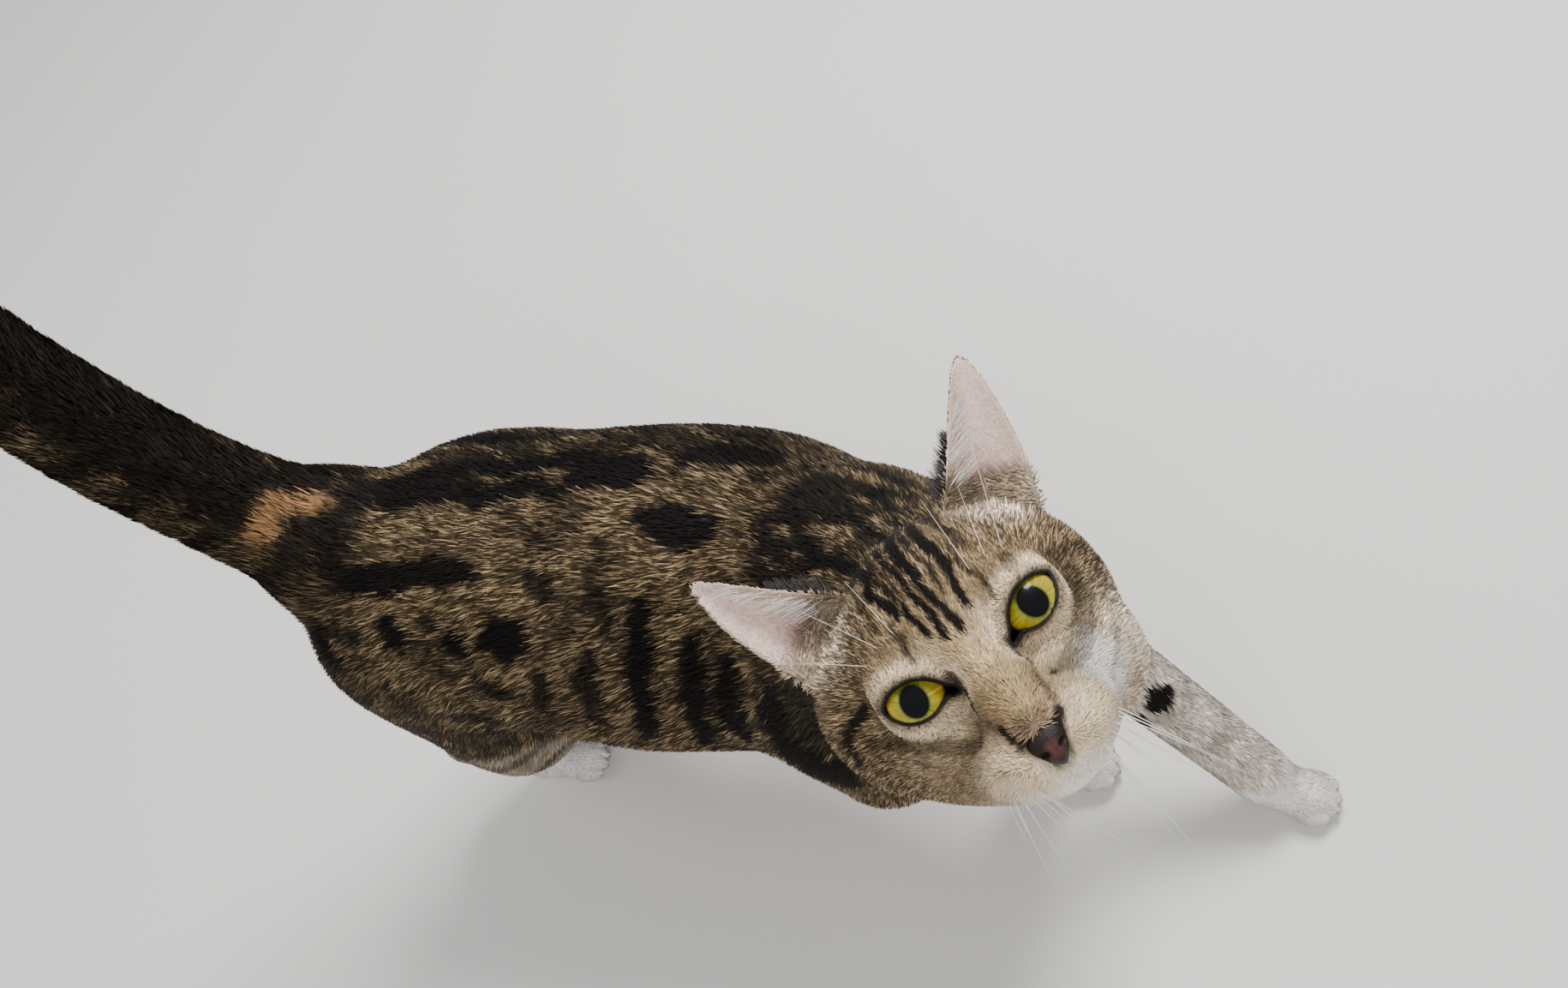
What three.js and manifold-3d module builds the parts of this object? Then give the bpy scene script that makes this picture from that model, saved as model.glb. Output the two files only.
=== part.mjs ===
// A young domestic cat at life size, walking, its head turned to its right and raised, its tail up.
// Millimetres, +Z up. +X is the way the trunk faces and +Y is the cat's left side.
// Every surface lies at the tips of the coat. The body is one rounded form, parted by thin cuts.
import * as THREE from 'three';
import { mergeVertices } from 'three/addons/utils/BufferGeometryUtils.js';
import Module from 'manifold-3d';

const wasm = await Module();
wasm.setup();

const point = (x, y, z) => new THREE.Vector3(x, y, z);
const SIDES = { left: 1, right: -1 };

// ---------------------------------------------------------------- driving dimensions

const CUT = 0.3;                    // width of the cut between two neighbouring pieces
const CELL = { trunk: 16, neck: 12, tail: 12, leg: 10.5, paw: 7, head: 7.6 };   // facet sizes

const SMALLEST_EDGE = 0.08;         // shorter edges, left by the cuts, are closed up

// The head: the middle of the line between the pupils, and how far the head is turned.
const EYE_LINE = point(199, -97, 314);
const HEAD_TURN = { yaw: -50, pitch: 48, roll: 4 };
const EYE_RADIUS = 10.5;
const EYE_CENTRE = point(-9.5, 20.5, 0);
const NOSE_CENTRE = point(24, 0, -23);
const NOSE_RADII = point(5, 6.2, 4.4);

// One ear, in the head's own frame: the two ends of its base and its tip.
const EAR = {
  innerBase: point(-40, 21, 34),
  outerBase: point(-44, 48, 19),
  tip: point(-52, 57, 63),
  thickness: 2.6,
  depth: 13,        // how far the cup goes back from its rim, at the base
  curl: 5,          // how far the tip leans back
  lean: 1.5,        // how far the middle bows outwards
  root: 12,         // how deep the base reaches into the head
  across: 7,        // facets over the width
  along: 6,         // facets over the length
};

// The tail: points along its middle from the root, each with its radius.
const TAIL = [
  [-118, -10, 202, 33], [-138, -12, 238, 28], [-153, -14, 278, 24.5], [-161, -16.5, 325, 23.5],
  [-161, -18.5, 375, 22], [-154, -20.5, 425, 20], [-143, -23, 465, 15.5], [-132, -24, 492, 10],
];
const TAIL_LENGTHS = 21;            // straight lengths that follow its curve

// ---------------------------------------------------------------- rounded forms as distances

function turned({ yaw = 0, pitch = 0, roll = 0 }) {
  const { degToRad } = THREE.MathUtils;
  return new THREE.Matrix4().makeRotationZ(degToRad(yaw))
    .multiply(new THREE.Matrix4().makeRotationY(-degToRad(pitch)))
    .multiply(new THREE.Matrix4().makeRotationX(degToRad(roll)));
}

const HEAD_FRAME = new THREE.Matrix4().makeTranslation(EYE_LINE).multiply(turned(HEAD_TURN));
const onHead = (x, y, z) => point(x, y, z).applyMatrix4(HEAD_FRAME);

// An ellipsoid: how far p is outside it.
function egg(centre, radii, turn = {}) {
  const toLocal = turned(turn).invert();
  const [rx, ry, rz] = radii;
  const q = new THREE.Vector3();
  return (p) => {
    q.subVectors(p, centre).applyMatrix4(toLocal);
    const scaled = Math.hypot(q.x / rx, q.y / ry, q.z / rz);
    const slope = Math.hypot(q.x / rx ** 2, q.y / ry ** 2, q.z / rz ** 2);
    return (scaled * (scaled - 1)) / Math.max(slope, 1e-9);
  };
}

// A limb: a cone with round ends, narrower sideways where flat is under 1.
function limb(from, to, startRadius, endRadius, flat = 1) {
  const widen = point(1, 1 / flat, 1);
  const axis = to.clone().sub(from).multiply(widen);
  const length2 = axis.lengthSq();
  const taper = startRadius - endRadius;
  const slope2 = length2 - taper * taper;
  const q = new THREE.Vector3();
  const side = new THREE.Vector3();
  return (p) => {
    q.subVectors(p, from).multiply(widen);
    const y = q.dot(axis);
    const z = y - length2;
    const x2 = side.copy(q).multiplyScalar(length2).addScaledVector(axis, -y).lengthSq();
    const y2 = y * y * length2;
    const z2 = z * z * length2;
    const k = Math.sign(taper) * taper * taper * x2;
    let distance;
    if (Math.sign(z) * slope2 * z2 > k) distance = Math.sqrt(x2 + z2) / length2 - endRadius;
    else if (Math.sign(y) * slope2 * y2 < k) distance = Math.sqrt(x2 + y2) / length2 - startRadius;
    else distance = (Math.sqrt(x2 * slope2 / length2) + y * taper) / length2 - startRadius;
    return distance * flat;
  };
}

// The nearer of two forms, rounded over a width of k where they meet.
function rounded(a, b, k) {
  const h = Math.max(k - Math.abs(a - b), 0) / k;
  return Math.min(a, b) - h * h * k * 0.25;
}

// A point on a smooth curve through the rows of a list, with t running from 0 to its last row.
function alongCurve(rows, t) {
  const i = Math.min(Math.floor(t), rows.length - 2);
  const f = t - i;
  const at = (j, c) => {
    if (j < 0) return 2 * rows[0][c] - rows[1][c];
    if (j >= rows.length) return 2 * rows[rows.length - 1][c] - rows[rows.length - 2][c];
    return rows[j][c];
  };
  return rows[0].map((_, c) => {
    const [p, q, r, s] = [at(i - 1, c), at(i, c), at(i + 1, c), at(i + 2, c)];
    return q + 0.5 * f * (r - p + f * (2 * p - 5 * q + 4 * r - s + f * (3 * (q - r) + s - p)));
  });
}

// ---------------------------------------------------------------- the body's forms

// Each entry is a form and the width over which it blends into those before it.
function trunkForms() {
  return [
    [egg(point(-88, -8, 182), [60, 62, 58], { yaw: 4 }), 1],                   // pelvis
    [egg(point(-28, -9, 168), [85, 70, 72]), 30],                              // loin and belly
    [egg(point(42, -8, 165), [86, 68, 75], { yaw: -4 }), 30],                  // ribs
    [egg(point(102, -26, 164), [56, 52, 70], { yaw: -20 }), 26],               // chest
    [egg(point(144, -40, 160), [34, 36, 50], { yaw: -30, pitch: 10 }), 20],    // breast
    [egg(point(-126, -20, 190), [34, 44, 42]), 18],                            // rump
    [limb(point(120, -28, 202), onHead(-62, 0, -14), 47, 37), 26],             // neck
  ];
}

function headForms() {
  const forms = [[egg(onHead(-45, 0, -1), [44, 42, 35], HEAD_TURN), 14]];     // skull
  for (const side of Object.values(SIDES)) {
    forms.push([egg(onHead(-36.5, side * 21 - 1, -14.5), [26.5, 25, 26], HEAD_TURN), 10]);   // cheek
    forms.push([egg(onHead(-17, side * 17, -22), [18, 17, 15], HEAD_TURN), 8]);   // under the eye
    forms.push([limb(onHead(-30, side * 19, -27), onHead(2, side * 13, -30), 17, 11), 10]);  // jaw
  }
  // the ruff below each ear, fuller on the side that the head turns to
  for (const [out, size] of [[29.5, 21.5], [-35, 24]]) {
    forms.push([egg(onHead(-50, out, -8), [size, size - 4, size + 4], HEAD_TURN), 10]);
  }
  forms.push([egg(onHead(-28, 23, -33), [18, 18, 14], HEAD_TURN), 10]);       // full left jowl
  forms.push([limb(onHead(-26, 0, -28), onHead(0, 0, -33), 21, 13), 12]);     // throat and lower jaw
  forms.push([limb(onHead(-8, 0, 4), onHead(19, 0, -17), 13, 8), 10]);        // bridge of the nose
  for (const side of Object.values(SIDES)) {
    forms.push([egg(onHead(12, side * 8.5, -27), [15, 12, 10], HEAD_TURN), 7]);   // whisker pad
    forms.push([egg(onHead(-12, side * 17, 7), [14, 14, 10], HEAD_TURN), 8]);     // brow
  }
  forms.push([egg(onHead(7, 0, -37), [13, 10, 8.5], HEAD_TURN), 7]);          // chin
  return forms;
}

function legForms() {
  return [
    [egg(point(-108, -47, 142), [50, 27, 62], { pitch: 8 }), 24],              // right thigh
    [egg(point(-78, 34, 140), [54, 26, 66], { pitch: -25 }), 26],              // left thigh
    // right hind leg: shank, hock and paw
    [limb(point(-92, -56, 112), point(-158, -46, 64), 28, 14, 0.8), 18],
    [limb(point(-160, -46, 60), point(-142, -40, 18), 12, 10), 10],
    [limb(point(-142, -40, 11), point(-118, -38, 10.5), 11, 12.5), 8],
    // left hind leg
    [limb(point(-60, 28, 112), point(-92, 30, 66), 26, 12, 0.8), 16],
    [limb(point(-96, 30, 66), point(-62, 24, 18), 11, 9), 10],
    [limb(point(-64, 24, 11), point(-38, 22, 10.5), 11, 12.5), 8],
    // right foreleg: upper arm, forearm and paw
    [limb(point(100, -60, 150), point(94, -66, 112), 34, 23, 0.8), 20],
    [limb(point(98, -62, 108), point(136, -33, 23), 17, 12.5), 12],
    [limb(point(138, -32, 11), point(160, -30, 10.5), 11, 12.5), 8],
    // left foreleg
    [limb(point(132, 6, 148), point(166, -4, 116), 29, 18, 0.8), 20],
    [limb(point(168, -4, 118), point(237, -36, 24), 16, 13.5), 14],
    [limb(point(238, -36, 13), point(258, -41, 10.5), 11, 12.5), 8],
  ];
}

function tailForms() {
  const stations = [];
  for (let i = 0; i <= TAIL_LENGTHS; i += 1) {
    stations.push(alongCurve(TAIL, (i / TAIL_LENGTHS) * (TAIL.length - 1)));
  }
  return stations.slice(1).map((end, i) => {
    const start = stations[i];
    const blend = i < 3 ? 16 : 1.5;
    return [limb(point(...start), point(...end), start[3], end[3]), blend];
  });
}

const FORMS = [...trunkForms(), ...headForms(), ...legForms(), ...tailForms()];
// Each entry is a form taken out of the body and the width over which its edge is rounded.
const HOLLOWS = [
  [egg(point(-44, -82, 110), [34, 28, 46]), 20],                               // waist before the thigh
  ...Object.values(SIDES).map((side) => (
    [egg(onHead(2, side * 23, 0), [8, 10.5, 8.5], HEAD_TURN), 3]               // before the eye
  )),
];

function coat(p) {
  let distance = Infinity;
  for (const [form, blend] of FORMS) {
    const d = form(p);
    distance = distance === Infinity ? d : rounded(distance, d, blend);
  }
  for (const [hollow, blend] of HOLLOWS) distance = -rounded(-distance, hollow(p), blend);
  return distance;
}

// ---------------------------------------------------------------- from distances to solids

const solidFrom = (vertProperties, triVerts) => (
  new wasm.Manifold(new wasm.Mesh({ numProp: 3, vertProperties, triVerts }))
);

// Moves a point that is within `reach` of it onto the surface that lies `offset` outside the coat.
function settle(p, offset, reach) {
  if (Math.abs(coat(p) - offset) > reach) return p;
  const step = 0.4;
  const q = new THREE.Vector3();
  const slope = new THREE.Vector3();
  for (let round = 0; round < 3; round += 1) {
    const miss = coat(p) - offset;
    ['x', 'y', 'z'].forEach((axis) => {
      const ahead = coat(q.copy(p).setComponent('xyz'.indexOf(axis), p[axis] + step));
      const behind = coat(q.copy(p).setComponent('xyz'.indexOf(axis), p[axis] - step));
      slope[axis] = (ahead - behind) / (2 * step);
    });
    p.addScaledVector(slope, -miss / Math.max(slope.lengthSq(), 0.2));
  }
  return p;
}

// The coat's surface inside a box of space, as one closed solid: one vertex in each cell of a grid
// that the surface crosses, and a pair of triangles round each grid line that it crosses.
function polygonise(box, cell, offset = 0) {
  const size = box.getSize(new THREE.Vector3()).divideScalar(cell).ceil().addScalar(1);
  const [nx, ny, nz] = [size.x, size.y, size.z];
  const index = (i, j, k) => (i * ny + j) * nz + k;
  const corner = (i, j, k) => point(i, j, k).multiplyScalar(cell).add(box.min);
  const values = new Float64Array(nx * ny * nz);
  for (let i = 0; i < nx; i += 1) {
    for (let j = 0; j < ny; j += 1) {
      for (let k = 0; k < nz; k += 1) {
        const edge = i * j * k === 0 || i === nx - 1 || j === ny - 1 || k === nz - 1;
        const value = coat(corner(i, j, k)) - offset;
        values[index(i, j, k)] = edge ? Math.max(value, 1) : value;
      }
    }
  }
  const inside = (i, j, k) => values[index(i, j, k)] < 0;

  const vertexOf = new Map();
  const vertices = [];
  function vertexIn(i, j, k) {
    const key = index(i, j, k);
    if (vertexOf.has(key)) return vertexOf.get(key);
    const middle = new THREE.Vector3();
    let crossings = 0;
    for (let axis = 0; axis < 3; axis += 1) {
      for (let turn = 0; turn < 4; turn += 1) {
        const a = [i, j, k];
        a[(axis + 1) % 3] += turn & 1;
        a[(axis + 2) % 3] += turn >> 1;
        const b = [...a];
        b[axis] += 1;
        const [va, vb] = [values[index(...a)], values[index(...b)]];
        if ((va < 0) !== (vb < 0)) {
          middle.add(corner(...a).lerp(corner(...b), va / (va - vb)));
          crossings += 1;
        }
      }
    }
    vertexOf.set(key, vertices.length);
    vertices.push(settle(middle.divideScalar(crossings), offset, cell / 2));
    return vertices.length - 1;
  }

  const triangles = [];
  for (let i = 0; i < nx - 1; i += 1) {
    for (let j = 0; j < ny - 1; j += 1) {
      for (let k = 0; k < nz - 1; k += 1) {
        for (let axis = 0; axis < 3; axis += 1) {
          const a = [i, j, k];
          const b = [...a];
          b[axis] += 1;
          if (inside(...a) !== inside(...b)) {
            const cellAt = (p, q) => {
              const c = [...a];
              c[(axis + 1) % 3] -= p;
              c[(axis + 2) % 3] -= q;
              return vertexIn(...c);
            };
            const ring = [cellAt(1, 1), cellAt(0, 1), cellAt(0, 0), cellAt(1, 0)];
            if (!inside(...a)) ring.reverse();
            const short = vertices[ring[0]].distanceTo(vertices[ring[2]])
              < vertices[ring[1]].distanceTo(vertices[ring[3]]);
            const [p, q, r, s] = short ? ring : [ring[1], ring[2], ring[3], ring[0]];
            triangles.push(p, q, r, p, r, s);
          }
        }
      }
    }
  }
  const positions = Float32Array.from(vertices.flatMap((p) => [p.x, p.y, p.z]));
  return solidFrom(positions, Uint32Array.from(triangles));
}

// A closed three.js geometry, placed by a matrix, as a solid.
function solidOf(geometry, matrix = new THREE.Matrix4()) {
  const bare = geometry.clone().applyMatrix4(matrix);
  bare.deleteAttribute('normal');
  bare.deleteAttribute('uv');
  const merged = mergeVertices(bare);
  return solidFrom(merged.attributes.position.array, Uint32Array.from(merged.index.array));
}

function geometryOf(solid) {
  const { vertProperties, triVerts } = solid.simplify(SMALLEST_EDGE).getMesh();
  const geometry = new THREE.BufferGeometry();
  geometry.setAttribute('position', new THREE.BufferAttribute(vertProperties, 3));
  geometry.setIndex(new THREE.BufferAttribute(triVerts, 1));
  geometry.computeVertexNormals();
  return geometry;
}

// ---------------------------------------------------------------- parting the body

// A block of space that starts at a cut and runs along an axis, as wide as it is thick.
function blockAlong(start, axis, length, width) {
  const turn = new THREE.Quaternion().setFromUnitVectors(point(0, 0, 1), axis.clone().normalize());
  const middle = start.clone().addScaledVector(axis.clone().normalize(), length / 2);
  return { middle, turn, size: point(width, width, length) };
}

const blockFrom = (low, high) => ({
  middle: low.clone().add(high).multiplyScalar(0.5),
  turn: new THREE.Quaternion(),
  size: high.clone().sub(low),
});

function blockSolid({ middle, turn, size }, grow = 0) {
  const wide = size.clone().addScalar(2 * grow);
  const matrix = new THREE.Matrix4().compose(middle, turn, point(1, 1, 1));
  return solidOf(new THREE.BoxGeometry(wide.x, wide.y, wide.z), matrix);
}

function blockBounds({ middle, turn, size }) {
  const matrix = new THREE.Matrix4().compose(middle, turn, point(1, 1, 1));
  const half = size.clone().multiplyScalar(0.5);
  return new THREE.Box3(half.clone().negate(), half).applyMatrix4(matrix);
}

const REACH = new THREE.Box3(point(-215, -150, -14), point(296, 92, 520));   // all of the body
const FLOOR = blockFrom(point(-400, -400, -60), point(400, 400, 0));

// The blocks are taken in this order, and the trunk is what they leave.
const NECK_AXIS = onHead(-62, 0, -14).sub(point(120, -28, 202));
const NECK_BASE = point(120, -28, 202).addScaledVector(NECK_AXIS, 0.1);
const HEAD_BASE = onHead(-62, 0, -14).addScaledVector(NECK_AXIS, -0.12);
const BLOCKS = [
  ['head', 'head', blockAlong(HEAD_BASE, NECK_AXIS, 170, 190)],
  ['neck', 'neck', blockAlong(NECK_BASE, NECK_AXIS, HEAD_BASE.distanceTo(NECK_BASE) + 2, 130)],
  ['tail_tip', 'tail', blockFrom(point(-220, -60, 415), point(-90, 20, 540))],
  ['tail_middle', 'tail', blockFrom(point(-220, -60, 325), point(-90, 20, 416))],
  ['tail_base', 'tail', blockAlong(point(-136, -12, 238), point(-0.42, -0.05, 0.9), 100, 84)],
  ['forepaw_left', 'paw', blockFrom(point(215, -70, -5), point(290, -10, 27))],
  ['foreleg_left', 'leg', blockAlong(point(168, -5, 116), point(0.66, -0.31, -0.68), 150, 56)],
  ['forepaw_right', 'paw', blockFrom(point(115, -60, -5), point(190, -8, 27))],
  ['foreleg_right', 'leg', blockAlong(point(98, -62, 104), point(0.4, 0.31, -0.86), 110, 60)],
  ['hindpaw_right', 'paw', blockFrom(point(-170, -70, -5), point(-90, -15, 27))],
  ['hindpaw_left', 'paw', blockFrom(point(-92, 2, -5), point(-12, 50, 27))],
  ['hindleg_right', 'leg', blockFrom(point(-210, -110, 20), point(-86, -12, 118))],
  ['hindleg_left', 'leg', blockFrom(point(-140, 4, 20), point(-40, 80, 99))],
];

// ---------------------------------------------------------------- ears, eyes and nose

// A point of the ear: u from -1 to 1 across it, t from 0 to 1 along it, face 1 inside and -1 behind.
function earPoint(side, u, t, face) {
  const mirror = point(1, side, 1);
  const inner = EAR.innerBase.clone().multiply(mirror);
  const outer = EAR.outerBase.clone().multiply(mirror);
  const base = inner.clone().add(outer).multiplyScalar(0.5);
  const up = EAR.tip.clone().multiply(mirror).sub(base);
  const height = up.length();
  up.normalize();
  const half = outer.distanceTo(inner) / 2;
  const across = outer.clone().sub(inner);
  across.addScaledVector(up, -across.dot(up)).normalize();
  const out = across.clone().cross(up).multiplyScalar(side);
  const width = half * 1.08 * (1 - t) ** 0.62;
  const rim = Math.max(0.25, Math.min(1, 1.15 - u * u));
  const depth = EAR.depth * (1 - t) ** 0.8 * (1 - u * u);
  const forward = -depth - EAR.curl * t * t + (face * rim * EAR.thickness) / 2;
  return base.addScaledVector(across, width * u + EAR.lean * Math.sin(Math.PI * t))
    .addScaledVector(up, (height + EAR.root) * t - EAR.root)
    .addScaledVector(out, forward)
    .applyMatrix4(HEAD_FRAME);
}

function earSolid(side) {
  const { across, along } = EAR;
  const steps = [...Array(across + 1).keys()].map((i) => (2 * i) / across - 1);
  const ring = [...steps.map((u) => [u, 1]), ...steps.toReversed().map((u) => [u, -1])];
  const points = [];
  for (let row = 0; row < along; row += 1) {
    for (const [u, face] of ring) points.push(earPoint(side, u, row / along, face));
  }
  const tip = points.push(earPoint(side, 0, 1, 1)) - 1;
  const root = points.push(earPoint(side, 0, 0, 1).lerp(earPoint(side, 0, 0, -1), 0.5)) - 1;
  const triangles = [];
  const add = (a, b, c) => triangles.push(...(side > 0 ? [a, c, b] : [a, b, c]));
  const last = (along - 1) * ring.length;
  for (let i = 0; i < ring.length; i += 1) {
    const next = (i + 1) % ring.length;
    for (let row = 0; row < last; row += ring.length) {
      add(row + i, row + next + ring.length, row + next);
      add(row + i, row + i + ring.length, row + next + ring.length);
    }
    add(last + i, tip, last + next);
    add(next, root, i);
  }
  const positions = Float32Array.from(points.flatMap((p) => [p.x, p.y, p.z]));
  return solidFrom(positions, Uint32Array.from(triangles));
}

function ball(centre, radii, grow = 0) {
  const matrix = HEAD_FRAME.clone()
    .multiply(new THREE.Matrix4().makeTranslation(centre))
    .multiply(new THREE.Matrix4().makeRotationZ(Math.PI / 2))
    .multiply(new THREE.Matrix4().makeScale(radii.y + grow, radii.x + grow, radii.z + grow));
  return solidOf(new THREE.SphereGeometry(1, 14, 8), matrix);
}

// ---------------------------------------------------------------- the model

const FUR = {
  grey: '#6b5c48', dark: '#3a3128', pale: '#b9a387', white: '#e6e1dc',
};
const COLOURS = {
  head: '#9a8465', neck: FUR.dark, trunk: FUR.grey, tail: FUR.dark, leg: '#8a7c70', paw: FUR.white,
};
const cat = new THREE.Group();

function addMesh(name, solid, color, roughness = 0.9) {
  const material = new THREE.MeshStandardMaterial({ color, roughness, metalness: 0 });
  const mesh = new THREE.Mesh(geometryOf(solid), material);
  mesh.name = name;
  cat.add(mesh);
}

function addBody(details) {
  const taken = [blockSolid(FLOOR)];
  for (const [name, kind, block] of BLOCKS) {
    const around = blockBounds(block).expandByScalar(2 * CELL[kind]).intersect(REACH);
    let piece = polygonise(around, CELL[kind]).intersect(blockSolid(block));
    for (const other of taken) piece = piece.subtract(other);
    if (name === 'head') for (const detail of details) piece = piece.subtract(detail);
    addMesh(name, piece, COLOURS[kind]);
    taken.push(blockSolid(block, CUT));
  }
  let trunk = polygonise(REACH, CELL.trunk);
  for (const other of taken) trunk = trunk.subtract(other);
  addMesh('trunk', trunk, COLOURS.trunk);
}

function addHeadDetails() {
  const eyeRadii = point(EYE_RADIUS, EYE_RADIUS, EYE_RADIUS);
  const headBounds = blockBounds(BLOCKS[0][2]).intersect(REACH);
  const headGrown = polygonise(headBounds, CELL.head, CUT + 0.15);
  const cuts = [ball(NOSE_CENTRE, NOSE_RADII, CUT)];
  addMesh('nose', ball(NOSE_CENTRE, NOSE_RADII), '#8d6660', 0.5);
  for (const [name, side] of Object.entries(SIDES)) {
    const centre = EYE_CENTRE.clone().multiply(point(1, side, 1));
    addMesh(`eye_${name}`, ball(centre, eyeRadii), '#a8912c', 0.1);
    cuts.push(ball(centre, eyeRadii, CUT));
    addMesh(`ear_${name}`, earSolid(side).subtract(headGrown), FUR.pale);
  }
  return cuts;
}

addBody(addHeadDetails());

// The origin is at floor level under the middle of the body's box.
const extent = new THREE.Box3().setFromObject(cat);
cat.position.set(-(extent.min.x + extent.max.x) / 2, -(extent.min.y + extent.max.y) / 2, -extent.min.z);

export default cat;
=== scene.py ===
"""A young tabby cat with white feet, life size, walking, its head turned and raised, its tail up.

The body is described in millimetres in the cat's own frame: +X the way the trunk faces, +Y its
left side, +Z up. The frame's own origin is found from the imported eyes. One skin is grown from
rounded forms, and tufts of coat are laid over it along the lie of the hair.
"""
import math

import bpy
import numpy as np
import openvdb
from mathutils import Matrix, Vector


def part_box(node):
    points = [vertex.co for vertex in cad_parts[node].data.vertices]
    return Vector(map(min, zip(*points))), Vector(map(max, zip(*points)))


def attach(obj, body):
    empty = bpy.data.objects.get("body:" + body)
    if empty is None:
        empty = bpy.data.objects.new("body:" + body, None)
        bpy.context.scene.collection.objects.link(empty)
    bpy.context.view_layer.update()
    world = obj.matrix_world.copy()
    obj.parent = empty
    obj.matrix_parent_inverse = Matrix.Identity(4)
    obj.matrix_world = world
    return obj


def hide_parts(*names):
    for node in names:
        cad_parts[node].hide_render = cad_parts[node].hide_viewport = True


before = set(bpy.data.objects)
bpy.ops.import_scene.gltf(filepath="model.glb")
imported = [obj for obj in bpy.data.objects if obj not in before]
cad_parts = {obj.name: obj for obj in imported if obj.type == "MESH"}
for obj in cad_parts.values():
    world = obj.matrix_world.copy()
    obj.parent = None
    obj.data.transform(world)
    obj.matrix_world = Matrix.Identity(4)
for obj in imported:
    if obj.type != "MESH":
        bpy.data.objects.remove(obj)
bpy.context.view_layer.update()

MM = 0.001
SIDES = {"left": 1, "right": -1}
RNG = np.random.default_rng(11)

# ------------------------------------------------------------------ driving dimensions (mm)

# The head: the middle of the line between the pupils, and how far the head is turned.
EYE_LINE = np.array([199.0, -97.0, 314.0])
HEAD_TURN = dict(yaw=-50, pitch=48, roll=4)
EYE_RADIUS = 10.5
EYE_CENTRE = (-9.5, 20.5, 0)
EYE_OPENING = (9.4, 5.5)         # half width and half height between the lids
EYE_TILT = 16                    # how far the outer corner is raised, degrees

EAR_INNER_BASE = (-40, 21, 34)
EAR_OUTER_BASE = (-44, 48, 19)
EAR_TIP = (-52, 57, 63)
EAR_DEPTH = 13                   # how far the cup goes back from its rim
EAR_CURL = 5                     # how far the tip leans back
EAR_LEAN = 1.5                   # how far the middle of the ear bows outwards
EAR_ROOT = 12                    # how deep the ear's base reaches into the head
EAR_WIDEN = 1.08                 # its width at the root, in half widths of its base
EAR_TAPER = 0.62                 # how bluntly its width and its cup run out to the tip
EAR_CUP_TAPER = 0.8
EAR_THICKNESS = 1.6
EAR_RIM = 1.5                    # the rounding of its rim
EAR_RIM_SLOPE = 0.85
EAR_SUNK = 9                     # how far its shell goes on below its base

# The tail: points along its middle, each with its radius.
TAIL = np.array([
    [-118, -10, 202, 33], [-138, -12, 238, 28], [-153, -14, 278, 24.5], [-161, -16.5, 325, 23.5],
    [-161, -18.5, 375, 22], [-154, -20.5, 425, 20], [-143, -23, 465, 15.5], [-132, -24, 492, 10],
], float)
TAIL_LENGTHS = 21                # straight lengths that follow its curve

CAMERA_AT = (326, -246, 690.4)
CAMERA_HEADING = 134.03          # degrees from +X
CAMERA_PITCH = -53.18
CAMERA_ROLL = 39.96
CAMERA_FOCAL = 1750 / 1830       # in image widths
SENSOR = 36                      # mm

# ------------------------------------------------------------------ rounded forms as distances


def turned(yaw=0, pitch=0, roll=0):
    """The axes of a form turned by these angles, as the columns of a matrix."""
    turn = Matrix.Rotation(math.radians(yaw), 3, "Z")
    turn = turn @ Matrix.Rotation(-math.radians(pitch), 3, "Y")
    return np.array(turn @ Matrix.Rotation(math.radians(roll), 3, "X"))


HEAD_AXES = turned(**HEAD_TURN)


def on_head(x, y, z):
    return EYE_LINE + HEAD_AXES @ np.array([x, y, z], float)


def to_head(points):
    return (points - EYE_LINE) @ HEAD_AXES


def on_side(place, side):
    """A place on the left of the head's frame, or its mirror image where side is -1."""
    return np.array(place, float) * [1, side, 1]


def unit(vector):
    return vector / np.linalg.norm(vector)


def egg(centre, radii, **turn):
    """How far points are outside an ellipsoid."""
    centre = np.array(centre, float)
    radii = np.array(radii, float)
    axes = turned(**turn)

    def distance(points):
        local = (points - centre) @ axes
        scaled = np.linalg.norm(local / radii, axis=1)
        slope = np.linalg.norm(local / radii ** 2, axis=1)
        return scaled * (scaled - 1) / np.maximum(slope, 1e-9)

    return distance


def limb(start, end, start_radius, end_radius, flat=1.0):
    """How far points are outside a cone with round ends, narrower sideways where flat is under 1."""
    widen = np.array([1, 1 / flat, 1])
    start = np.array(start, float)
    axis = (np.array(end, float) - start) * widen
    length2 = axis @ axis
    taper = start_radius - end_radius
    slope2 = length2 - taper * taper

    def distance(points):
        q = (points - start) * widen
        y = q @ axis
        z = y - length2
        side = q * length2 - np.outer(y, axis)
        x2 = (side * side).sum(1)
        y2 = y * y * length2
        z2 = z * z * length2
        k = np.sign(taper) * taper * taper * x2
        d = (np.sqrt(x2 * slope2 / length2) + y * taper) / length2 - start_radius
        d = np.where(np.sign(y) * slope2 * y2 < k, np.sqrt(x2 + y2) / length2 - start_radius, d)
        d = np.where(np.sign(z) * slope2 * z2 > k, np.sqrt(x2 + z2) / length2 - end_radius, d)
        return d * flat

    return distance


def rounded(a, b, k):
    """The nearer of two forms, rounded over a width of k where they meet."""
    h = np.maximum(k - np.abs(a - b), 0) / k
    return np.minimum(a, b) - h * h * k * 0.25


def rounded_max(a, b, k):
    """What two forms have in common, rounded at the edge."""
    return -rounded(-a, -b, k)


def carved(a, b, k):
    """Form a with form b taken out of it, rounded over a width of k at the edge."""
    return -rounded(-a, b, k)


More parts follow.
